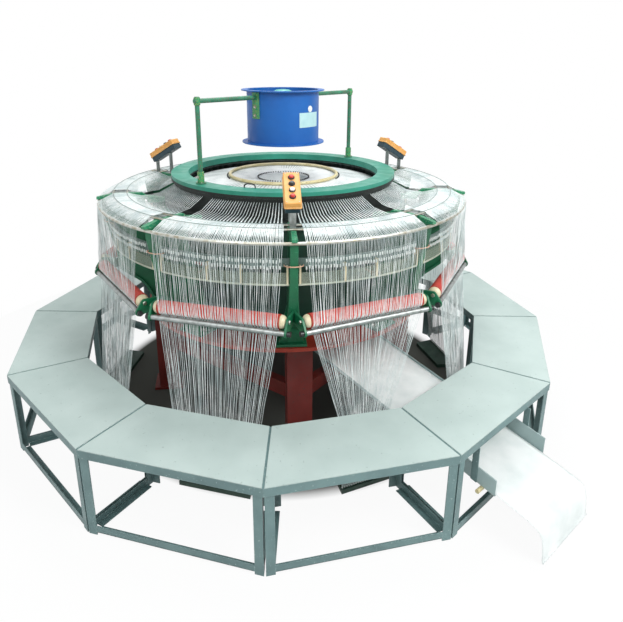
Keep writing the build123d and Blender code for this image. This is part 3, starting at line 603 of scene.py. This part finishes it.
def lower_tape(lower, k, t, u_low):
    """A tape from the rod down to the floor guide, pushed aside where the chute goes through."""
    bay = BAYS[k]
    foot = t * LOWER_HALF
    if k == 0:
        foot = (t + 1) / 2 * (CHUTE_LEFT - 0.004 + LOWER_HALF) - LOWER_HALF
    if k == 1:
        foot = t * CHUTE_RIGHT
    top_z, foot_z = ROD_Z - ROD_R - PIN, GUIDE_Z + PIN
    path, turned = [polar(bay, ROD_A, top_z, u_low)], [-sideways(bay)]
    for z in (0.72, 0.60, 0.48, CHUTE_PASS_Z, 0.2, foot_z):
        f = (top_z - z) / (top_z - foot_z)
        f_side = min(1, (top_z - z) / (top_z - CHUTE_PASS_Z)) if k == 0 else f
        hangs = z > foot_z + 0.01
        side = mix(u_low, foot, f_side) + random.uniform(-0.0020, 0.0020) * hangs
        path.append(polar(bay, mix(ROD_A, GUIDE_A, f), z, side))
        turned.append(twisted(bay, 70 * hangs))
    lower.tape(path, turned, [random.uniform(0.0016, 0.0030) for _ in path])


def warp():
    top, under_warp, upper, lower = Heap(), Heap(), Heap(), Heap()
    for k, bay in enumerate(BAYS):
        for i, t in enumerate(spread(TAPES)):
            turn_angle = (t + random.uniform(-0.15, 0.15) * 2 / TAPES) * WARP_ARC
            top_tapes(top, under_warp, bay, i, bay + turn_angle)
            u_low = (t + random.uniform(-0.4, 0.4) * 2 / TAPES) * (ROLLER_HALF - 0.008)
            upper_tape(upper, k, i, turn_angle, u_low)
            lower_tape(lower, k, t, u_low)
    for heap, name, node_name in ((top, "warp_tapes_top", "warp_top"), (upper, "warp_tapes_upper", "warp_upper"),
                                  (lower, "warp_tapes_lower", "warp_lower")):
        made = heap.make(name, warp_tape)
        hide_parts(node_name)
    under_warp.make("warp_tapes_under_rings", warp_tape)


# ---- stop rail: eyes, wires, band and clips
BAND_HALF = 18.78                  # half a bay's band, in degrees
EYE_SHAPE = [(0, 0.0024), (0.003, 0.0036), (0.013, 0.0036), (0.016, 0.0024)]
# A leg behind the band, a bridge over its top edge and a leg before it: distance out, height, depth, length
CLIP_PARTS = ((0.9795, 1.062, 0.0104, 0.050), (0.9834, 1.1025, 0.0182, 0.030), (0.9912, 1.0590, 0.0028, 0.0565))
BRIDGE = [(-0.044, 0.9770, 1.120), (-0.042, 1.000, 1.122), (-0.030, 1.020, 1.124), (0, 1.028, 1.125),
          (0.030, 1.020, 1.124), (0.042, 1.000, 1.122), (0.044, 0.9770, 1.120)]


def yarn_eyes():
    """Two staggered rows of eyes on wires along each bay's rail."""
    eyes, eye_wires = Heap(), Heap()
    for bay in BAYS:
        for t in spread(TAPES)[::2]:
            angle = bay + t * (WARP_ARC - 0.4)
            for z, r in ((1.144, 1.002), (1.112, 0.998)):
                z += random.uniform(-0.003, 0.003)
                eyes.lathe(polar(angle, r, z - 0.008), UP, EYE_SHAPE, 6)
                eye_wires.tube([polar(angle, RAIL_R - 0.0005, min(z, 1.143)), polar(angle, r - 0.003, z)], 0.0009, 4)
            eye_wires.tube([polar(angle + 0.2, 0.9815, 1.104), polar(angle + 0.2, 0.9815, 1.080)], 0.0011, 4)
    eyes.make("ceramic_yarn_eyes", eye_ceramic, smooth=True)
    eye_wires.make("yarn_eye_wires", bright_steel)


def stop_bands():
    bands, band_edges, clips = Heap(), Heap(), Heap()
    for k, bay in enumerate(BAYS):
        bands.arc_strip(bay, BAND_HALF, bar_section(0.985, 0.988, 1.025, 1.085))
        band_edges.arc_strip(bay, BAND_HALF, bar_section(0.9842, 0.9894, 1.0235, 1.0315))
        hand = 1 if k < SECTORS / 2 else -1
        for spot in (-18.35, -6.2, 3.2, 18.35):
            for r, z, deep, high in CLIP_PARTS:
                clips.block(polar(bay + hand * spot, r, z), bay + hand * spot, (deep, 0.0085, high), 0.0008)
    made = bands.make("clear_stop_bands", smoky_pvc)
    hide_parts("stop_band")
    band_edges.make("stop_band_edges", edge_pvc)
    made = clips.make("stop_band_clips", cap_cream)
    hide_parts("band_clips")


def rail_bridges():
    """A coated wire bridges the rails across each column."""
    rail_loops = Heap()
    for arm in ARMS:
        rail_loops.tube([polar(arm, r, z, side) for side, r, z in BRIDGE], 0.0026, 6)
    rail_loops.make("rail_bridge_wires", loop_wire, smooth=True)


def floor_eyes():
    guide_eyes = Heap()
    for bay in BAYS:
        for t in spread(TAPES)[::3]:
            guide_eyes.lathe(polar(bay, GUIDE_A + 0.002, GUIDE_Z + PIN, t * LOWER_HALF), UP,
                       [(0, 0.0046), (0.004, 0.0050), (0.007, 0.0042), (0.008, 0.0026)], 8)
    guide_eyes.make("floor_guide_eyes", eye_ceramic, smooth=True)


# ---- roller ends
CAP_SHAPE = [(0, 0.0315), (0.004, 0.0318), (0.011, 0.0302), (0.018, 0.0262), (0.0225, 0.0205), (0.0245, 0.0130),
             (0.0252, 0.0066)]


def roller_ends(k, bay):
    """Domed caps, red end bands and shaft nuts, which turn with their roller."""
    body = f"feed_roller_{k + 1}"
    caps, wraps, nuts = Heap(), Heap(), Heap()
    for side in (-1, 1):
        out = sideways(bay) * side
        caps.lathe(polar(bay, ROLLER_A, ROLLER_Z, side * (ROLLER_HALF + PIN)), out, CAP_SHAPE, 28)
        wraps.lathe(polar(bay, ROLLER_A, ROLLER_Z, side * (ROLLER_HALF - 0.008)), out,
                    [(0, 0.0332), (0.001, 0.0338), (0.007, 0.0338), (0.008, 0.0332)], 32)
        nuts.lathe(polar(bay, ROLLER_A, ROLLER_Z, side * (LUG_OUT + 0.0006)), out,
                   [(0, 0.0105), (0.0052, 0.0105), (0.0064, 0.0092)], 6)
    caps.make(f"roller_caps_{k + 1}", cap_cream, body, True)
    wraps.make(f"roller_end_bands_{k + 1}", signal_red, body, True)
    nuts.make(f"roller_shaft_nuts_{k + 1}", zinc_steel, body)


# ---- weaving head
WEAVING_R, WEAVING_Z, WEAVING_ROD = 0.312, 1.3455, 0.009
DENTS, DENT_HALF, DENT_IN = 540, 0.0006, 0.0008
BAIL_ANGLE = -107.7


def drum_and_rings():
    """The drum's skirt, two wires that hold the top tapes down, and the mint ring's dark band and bail handle."""
    skirt, hold_wires, wall_band, bail = Heap(), Heap(), Heap(), Heap()
    skirt.hoop(bar_section(0.6465, 0.6485, 0.975, 1.1985), 120)
    skirt.make("drum_skirt_sheet", drum_green)
    for r in (INNER_R, MIDDLE_R):
        hold_wires.hoop(round_section(r, TOP_Z + TAPE_LIFT + 0.0015, 0.0012, 6), 144)
    hold_wires.make("top_tape_hold_wires", rail_grey, smooth=True)
    wall_band.hoop(bar_section(GREEN_OUT + PIN, GREEN_OUT + 0.0014, GREEN_TOP - 0.0345, GREEN_TOP - 0.020), 144)
    wall_band.make("mint_ring_dark_band", race_green)
    bail.tube([polar(BAIL_ANGLE + a, 0.556, GREEN_TOP + lift) for a, lift in
               ((-3.0, PIN), (-3.0, 0.010), (-2.4, 0.017), (-1.2, 0.0205), (1.2, 0.0205), (2.4, 0.017), (3.0, 0.010),
                (3.0, PIN))], 0.0034, 8)
    bail.make("mint_ring_bail_handle", knob_black, smooth=True)


def reed():
    dents = Heap()
    for low_z in (REED_LOW, REED_HIGH - 0.008):
        dents.hoop(bar_section(REED_IN, REED_OUT, low_z, low_z + 0.008))
    plan = bar_section(REED_IN + DENT_IN, REED_OUT - DENT_IN, -DENT_HALF, DENT_HALF)
    for j in range(DENTS):
        dents.rings([[polar(360 * j / DENTS, r, z, side) for r, side in plan]
                     for z in (REED_LOW + 0.007, REED_HIGH - 0.007)])
    made = dents.make("reed_dents", reed_steel)
    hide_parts("reed_ring")


def weaving_ring():
    """The hoop, with black comb teeth outside it, but not at the front, and round the tube's mouth."""
    hoop, teeth = Heap(), Heap()
    hoop.hoop(round_section(WEAVING_R, WEAVING_Z, WEAVING_ROD, 10), 120)
    made = hoop.make("weaving_ring_hoop", ring_cream, smooth=True)
    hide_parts("weaving_ring")
    for j in range(76):
        teeth.block(polar(3 * j - 24, 0.3275, 1.3378), 3 * j - 24, (0.007, 0.0035, 0.007), 0.0007)
    for j in range(60):
        teeth.block(polar(6 * j, 0.1500, 1.3255), 6 * j, (0.007, 0.004, 0.008), 0.0008)
    teeth.make("weaving_ring_comb", knob_black)


# ---- chute and woven cloth
CHUTE_HALF, CHUTE_START, CHUTE_END, CHUTE_SHEET = 0.220, 0.25, 1.6455, 0.003
CHEEK_START, CHEEK_HIGH, HEM = 1.400, 0.078, 0.010


def chute_z(r):
    return 0.466 - (r - 0.45) * tan(radians(12.5))


def cheek(start, end, low, high, side):
    """The corners of an upright plate along the chute's edge, between two heights over its bottom."""
    return [polar(CHUTE_ANGLE, r, chute_z(r) + lift, side)
            for r, lift in ((start, low), (end, low), (end, high), (start, high))]


def chute_trough():
    chute = Heap()
    chute.slab([polar(CHUTE_ANGLE, r, chute_z(r) - CHUTE_SHEET, side * CHUTE_HALF) for r, side in
                ((CHUTE_START, -1), (CHUTE_END, -1), (CHUTE_END, 1), (CHUTE_START, 1))], UP * CHUTE_SHEET)
    for hand in (-1, 1):
        edge, out = hand * CHUTE_HALF, sideways(CHUTE_ANGLE) * hand
        chute.slab(cheek(CHUTE_START, CHEEK_START, 0.0001, 0.012, edge), out * -CHUTE_SHEET)
        chute.slab(cheek(CHEEK_START, CHUTE_END, 0.0001, CHEEK_HIGH, edge), out * -CHUTE_SHEET)
        # The cheek's top edge is turned outwards as a hem
        chute.slab(cheek(CHEEK_START, CHUTE_END, CHEEK_HIGH - HEM, CHEEK_HIGH, edge), out * 0.002)
    made = chute.make("cloth_chute_sheet", chute_sheet)
    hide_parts("cloth_chute")


CLOTH_WALL, SPOKES = 0.0028, 180
# The new cloth's line from the reed over the weaving ring to the tube's mouth, as (distance out, height)
FELL = [(0.5550, 1.2985), (0.48, 1.3095), (0.40, 1.3215), (0.3225, 1.3345), (0.303, 1.3355), (0.25, 1.3300),
        (0.20, 1.3250), (0.158, 1.3195), (0.143, 1.3165), (0.1395, 1.3105)]
TUBE_TOP, TUBE_FOOT, TUBE_STEPS = 1.2580, 0.5625, 9
TUBE_R, FLAT_THIN, FLAT_WIDE = 0.1415, 0.0095, 0.2105


def fell_loop(r, z, lift=0.0):
    """One ring of the new cloth; every second tape stands a little proud where they still lie apart."""
    return [polar(360 * j / SPOKES, r, z + lift * (j % 2) + 0.0016 * (lift > 0) * sin(j * 0.42) * sin(j * 0.137))
            for j in range(SPOKES)]


def tube_loop(f, wall):
    """One ring of the falling tube, round at its top and flat at the chute."""
    loop, z = [], mix(TUBE_TOP, TUBE_FOOT, f)
    thin, wide = mix(TUBE_R, FLAT_THIN, f) - wall, mix(TUBE_R, FLAT_WIDE, f) - wall
    for j in range(SPOKES):
        a = radians(360 * j / SPOKES - CHUTE_ANGLE)
        crease = min(1.0, 1 + 0.012 * sin(9 * a + 3 * f) * sin(pi * min(1, f * 1.3)))
        flat = Vector((thin * cos(a), wide * sin(a) * crease, z))
        loop.append(Matrix.Rotation(radians(CHUTE_ANGLE), 3, "Z") @ flat)
    return loop


def woven_tube():
    cloth, falls = Heap(), [n / TUBE_STEPS for n in range(TUBE_STEPS + 1)]
    inside = [fell_loop(r, z, 0.0012 if 1 <= n <= 2 else 0) for n, (r, z) in enumerate(FELL)]
    inside += [tube_loop(f, CLOTH_WALL) for f in falls]
    outside = [fell_loop(r, z - CLOTH_WALL * 0.9) for r, z in FELL[:8]] + [fell_loop(0.1425, 1.3135)]
    outside += [tube_loop(f, 0) for f in falls]
    cloth.rings(list(reversed(inside)) + outside, closed_ends=False)
    last = (len(inside) + len(outside) - 1) * SPOKES
    for j in range(SPOKES):
        following = (j + 1) % SPOKES
        cloth.faces.append((last + j, last + following, following, j))
    tube_cloth = cloth.make("woven_tube_cloth", loom_cloth, smooth=True)
    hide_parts("cloth_tube")


CLOTH_HALF, ACROSS, STRIP_STEP = 0.212, 24, 0.03
# The flattened tube's line: from its foot along the chute, then off its end to the floor
STRIP_LINE = [(0.004, 0.5585), (0.10, 0.532),
              *((r, chute_z(r) + lift) for r, lift in
                ((0.25, 0.0020), (0.6, 0.0018), (1.0, 0.0018), (1.4, 0.0018), (1.60, 0.0018), (CHUTE_END, 0.0014))),
              (1.742, 0.1805), (1.800, 0.1660), (1.835, 0.1530), (1.853, 0.1400), (1.865, 0.1180), (1.872, 0.0850),
              (1.876, 0.0500), (1.879, 0.0200), (1.882, 0.0060), (1.887, 0.0022)]


def finer(line, step):
    """The same line with points between its own, about a step apart."""
    fine = []
    for (r0, z0), (r1, z1) in zip(line, line[1:]):
        steps = max(1, int((r1 - r0) / step))
        fine += [(mix(r0, r1, s / steps), mix(z0, z1, s / steps)) for s in range(steps)]
    return fine + [line[-1]]


def strip_section(line, n):
    """One section across the flat cloth: its upper side, then its under side back."""
    (r, z), (r0, z0), (r1, z1) = line[n], line[max(n - 1, 0)], line[min(n + 1, len(line) - 1)]
    lean_r, lean_z = (z0 - z1) / hypot(r1 - r0, z1 - z0), (r1 - r0) / hypot(r1 - r0, z1 - z0)
    top_row, low_row = [], []
    for j in range(ACROSS + 1):
        u = (2 * j / ACROSS - 1) * CLOTH_HALF
        wave = 0.0008 * sin(r * 19 + u * 14) + 0.0006 * sin(u * 37 - r * 9)
        edge_soft = min(1, (CLOTH_HALF - abs(u)) / 0.012)
        over, under = (0.0012 + wave * (r < 1.6)) * edge_soft, -0.0013 * (0.3 + 0.7 * edge_soft)
        top_row.append(polar(CHUTE_ANGLE, min(r + lean_r * over, 1.8875), z + lean_z * over, u))
        low_row.append(polar(CHUTE_ANGLE, r + lean_r * under, max(z + lean_z * under, 0.0004), u))
    return top_row + low_row[::-1]


def cloth_strip():
    line, strip = finer(STRIP_LINE, STRIP_STEP), Heap()
    strip.rings([strip_section(line, n) for n in range(len(line))])
    strip_cloth = strip.make("cloth_strip_on_chute", loom_cloth, smooth=True)
    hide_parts("cloth_strip")


# ---- fan: posts, dome, label and bolts
POST_R, POST_ANGLE, POST_TOP, POST_ROD = 0.597, -135.5, 1.806, 0.012
POST_ARM_Z, POST_ARM_IN = 1.785, 0.2105
LABEL_UP, LABEL_SIDES = 0.0185, 24     # the round label's middle over the bare plate


def motor_dome():
    """The end of the motor, which shows over the fan's rim."""
    dome = Heap()
    motor_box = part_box("fan_motor")
    dome.lathe(UP * (motor_box[1][2] + PIN), UP,
               [(0, 0.0580), (0.008, 0.0580), (0.016, 0.0510), (0.022, 0.0370), (0.0250, 0.0160)], 32)
    dome.make("fan_motor_dome", motor_teal)


def fan_frame():
    posts, collars, fan_bolts = Heap(), Heap(), Heap()
    for angle in (POST_ANGLE, POST_ANGLE + 180):
        foot_at, out = polar(angle, POST_R, GREEN_TOP), outwards(angle)
        posts.lathe(foot_at, UP, [(PIN, 0.027), (0.005, 0.027), (0.006, 0.0255)], 28)
        posts.lathe(foot_at, UP, [(0.006, POST_ROD), (POST_TOP - GREEN_TOP, POST_ROD)], 20)
        posts.lathe(polar(angle, POST_ARM_IN, POST_ARM_Z), out,
                    [(0, POST_ROD), (POST_R - POST_ARM_IN + 0.0165, POST_ROD)], 20)
        collars.lathe(foot_at, UP, [(0.006, 0.0165), (0.008, 0.0175), (0.060, 0.0175), (0.062, 0.0165)], 24)
        collars.lathe(polar(angle, POST_R, POST_ARM_Z - 0.020), UP,
                      [(0, 0.0150), (0.002, 0.0162), (0.036, 0.0162), (0.038, 0.0150)], 20)
        fan_bolts.hex_bolt(polar(angle, POST_R + 0.0178, GREEN_TOP + 0.036), out, 0.010, 0.006)
        for turn_by in (60, 180, 300):
            fan_bolts.hex_bolt(foot_at + polar(angle + turn_by, 0.0215, 0.0062), UP, 0.006, 0.003)
        for z in (1.690, 1.735):
            fan_bolts.hex_bolt(polar(angle, FAN_R + 0.0068, z), out, 0.012, 0.007)
    made = posts.make("fan_post_pipes", post_green, smooth=False)
    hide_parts("fan_posts")
    collars.make("fan_post_collars", clamp_green)
    fan_bolts.make("fan_bolts", zinc_steel)


def round_label():
    disc = Heap()
    disc.rings([[polar(LABEL_ANGLE + 1.0 + degrees(side / FAN_R), FAN_R + PIN + proud, z)
                 for side, z in round_section(0, LABEL_TOP + LABEL_UP, r, LABEL_SIDES)]
                for r, proud in ((0.0175, 0), (0.0165, 0.0009), (0.009, 0.0009), (0.0008, 0.0009))])
    disc.make("fan_round_label", label_disc)


# ---- control boxes
BOX_R, BOX_Z, BOX_TILT = 0.870, 1.446, radians(30.0)
BOX_HALF, BOX_SIDE, BOX_ROUND = 0.104, 0.0375, 0.006
# Outlines of the cover and the base, as (height over the face, growth)
COVER_STEPS = ((-0.032, 0.002), (-0.031, 0.003), (-0.027, 0.003), (-0.026, 0.002), (-0.0255, 0), (-0.004, 0),
               (-0.0014, -0.0016), (0, -0.0042))
BASE_STEPS = ((-0.062, -0.0040), (-0.060, -0.0025), (-0.0322, -0.0025))
BUTTON_PITCH, BUTTON_SHIFT, BEZEL_HIGH = 0.042, -0.002, 0.0044
SCREW_ALONG, SCREW_ACROSS = 0.094, 0.0275
ARM_TOP = 1.2727


def box_frame(arm):
    """The middle of a box's sloping face, and the directions along it, across it and out of it."""
    return (polar(arm, BOX_R, BOX_Z), polar(arm, cos(BOX_TILT), -sin(BOX_TILT)), sideways(arm),
            polar(arm, sin(BOX_TILT), cos(BOX_TILT)))


def box_loop(arm, height, grow):
    """A rounded outline of the box at a height over its sloping face."""
    middle, along, across, normal = box_frame(arm)
    points = []
    for sx, sy, start in ((1, 1, 0), (-1, 1, 90), (-1, -1, 180), (1, -1, 270)):
        for step in range(4):
            a = radians(start + 30 * step)
            x = sx * (BOX_HALF - BOX_ROUND) + (BOX_ROUND + grow) * cos(a)
            y = sy * (BOX_SIDE - BOX_ROUND) + (BOX_ROUND + grow) * sin(a)
            points.append(middle + along * x + across * y + normal * height)
    return points


def box_shells():
    covers, bases, brackets = Heap(), Heap(), Heap()
    for arm in ARMS[::3]:
        covers.rings([box_loop(arm, height, grow) for height, grow in COVER_STEPS])
        bases.rings([box_loop(arm, height, grow) for height, grow in BASE_STEPS])
        for spot in (-0.054, 0.054):
            top = BOX_Z - 0.062 / cos(BOX_TILT) - spot * tan(BOX_TILT) + 0.006
            brackets.block(polar(arm, BOX_R + spot, (ARM_TOP + PIN + top) / 2), arm,
                           (0.004, 0.030, top - ARM_TOP - PIN), 0.0006)
            brackets.block(polar(arm, BOX_R + spot + 0.009, ARM_TOP + 0.0024), arm, (0.022, 0.024, 0.004), 0.0006)
    for heap, name, mat, node_name, slot_name in (
            (covers, "control_box_covers", box_orange, "box_covers", "box_orange"),
            (bases, "control_box_bases", base_slate, "box_bases", "box_slate"),
            (brackets, "control_box_brackets", turned_steel, "box_posts", "bright_steel")):
        made = heap.make(name, mat)
        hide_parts(node_name)


def box_buttons():
    bezels, screws = Heap(), Heap()
    button_heaps = {"red": Heap(), "grey": Heap(), "white": Heap()}
    for arm in ARMS[::3]:
        middle, along, across, normal = box_frame(arm)
        for n, colour in enumerate(("red", "grey", "white", "red")):
            seat = middle + along * (BUTTON_PITCH * (n - 1.5) + BUTTON_SHIFT) + normal * PIN
            bezels.lathe(seat, normal, [(0, 0.0152), (0.003, 0.0152), (BEZEL_HIGH, 0.0138)], 24)
            button_heaps[colour].lathe(seat + normal * BEZEL_HIGH, normal,
                                       [(0, 0.0112), (0.005, 0.0112), (0.0068, 0.0098), (0.0074, 0.0056)], 24)
        for sx, sy in ((-1, -1), (-1, 1), (1, -1), (1, 1)):
            seat = middle + along * sx * SCREW_ALONG + across * sy * SCREW_ACROSS + normal * PIN
            screws.lathe(seat, normal, [(0, 0.0034), (0.0012, 0.0032), (0.0018, 0.0018)], 10)
    for colour, mat in (("red", button_red), ("grey", button_grey), ("white", button_white)):
        made = button_heaps[colour].make(f"{colour}_buttons", mat, smooth=True)
        if colour == "red":
            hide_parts("push_buttons")
    bezels.make("button_bezels", knob_black, smooth=True)
    screws.make("box_screws", zinc_steel)


# ---- all pieces: the warp draws random numbers and the yarn eyes draw more, so those two keep their order
walkway()
column_faces()
warp()
stop_bands()
yarn_eyes()
rail_bridges()
floor_eyes()
for k, bay in enumerate(BAYS):
    roller_ends(k, bay)
drum_and_rings()
reed()
weaving_ring()
chute_trough()
woven_tube()
cloth_strip()
motor_dome()
fan_frame()
round_label()
box_shells()
box_buttons()


# ---- floor and light
FLOOR_HALF, FLOOR_Z = 30, -0.0005


def pale_floor():
    """Matt white studio floor: seen directly it is brightened to white, fully so away from the machine, and right
    under the machine its colour is a deep grey, which is painted shade."""
    made, tree, shader = blank("matt_white_studio_floor", 0.9)
    ray = tree.nodes.new("ShaderNodeLightPath")
    seen = add(tree, "Math", {0: ray.outputs["Is Camera Ray"], 1: ray.outputs["Is Glossy Ray"]}, operation="MAXIMUM")
    where = add(tree, "TexCoord", out="Object")
    away = add(tree, "VectorMath", {0: where}, "Value", operation="LENGTH")
    outside_painted_shade = add(tree, "MapRange", {"Value": away, "From Min": 1.09, "From Max": 1.17})
    # Painted shade: under the machine the floor's colour is a deep grey
    tone = add(tree, "Mix", {0: outside_painted_shade, 6: linear("#4A4C47"), 7: linear("#E9EBEA")}, 2, data_type="RGBA")
    tree.links.new(tone, shader.inputs["Base Color"])
    under = add(tree, "Math", {0: outside_painted_shade, 1: 0.94}, operation="MULTIPLY")
    clear = add(tree, "MapRange", {"Value": away, "From Min": 1.7, "From Max": 2.5})
    share = add(tree, "Math", {0: under, 1: clear}, operation="MAXIMUM")
    share = add(tree, "Math", {0: seen, 1: share}, operation="MULTIPLY")
    white = add(tree, "Emission", {"Color": (1, 1, 1, 1), "Strength": 1.0})
    blend = add(tree, "MixShader", {0: share, 1: shader.outputs[0], 2: white})
    tree.links.new(blend, tree.nodes["Material Output"].inputs["Surface"])
    return made


def studio_floor():
    corners = [(x * FLOOR_HALF, y * FLOOR_HALF, FLOOR_Z) for x, y in ((-1, -1), (1, -1), (1, 1), (-1, 1))]
    mesh = bpy.data.meshes.new("studio_floor")
    mesh.from_pydata(corners, [], [(0, 1, 2, 3)])
    made = bpy.data.objects.new("studio_floor", mesh)
    bpy.context.collection.objects.link(made)
    made.data.materials.append(pale_floor())


def studio_sky():
    """White where the camera or a mirrored or refracted view meets it, and a soft cool fill for all else."""
    world = bpy.data.worlds.new("studio")
    bpy.context.scene.world = world
    world.use_nodes = True
    sky = world.node_tree
    sky.nodes.clear()
    ray = sky.nodes.new("ShaderNodeLightPath")
    seen = add(sky, "Math", {0: ray.outputs["Is Camera Ray"], 1: ray.outputs["Is Glossy Ray"]}, operation="MAXIMUM")
    seen = add(sky, "Math", {0: seen, 1: ray.outputs["Is Transmission Ray"]}, operation="MAXIMUM")
    fill = add(sky, "Background", {"Color": linear("#F4F7F8"), "Strength": 0.42})
    plain = add(sky, "Background", {"Color": (1, 1, 1, 1), "Strength": 1.0})
    both = add(sky, "MixShader", {0: seen, 1: fill, 2: plain})
    add(sky, "OutputWorld", {"Surface": both})


def lamp(name, spot, target, size, power):
    data = bpy.data.lights.new(name, "AREA")
    data.shape, data.size, data.energy = "DISK", size, power
    made = bpy.data.objects.new(name, data)
    bpy.context.collection.objects.link(made)
    made.location = spot
    made.rotation_euler = (Vector(target) - Vector(spot)).to_track_quat("-Z", "Y").to_euler()


studio_floor()
studio_sky()
lamp("key_light", (3.6, -3.4, 4.8), (0, 0, 0.8), 2.6, 250)
lamp("fill_light", (-2.2, -4.6, 4.6), (0, 0, 0.8), 3.0, 100)
lamp("top_light", (0.4, 1.8, 6.0), (0, 0, 1.0), 3.2, 150)

bpy.context.scene.view_settings.view_transform = "Standard"
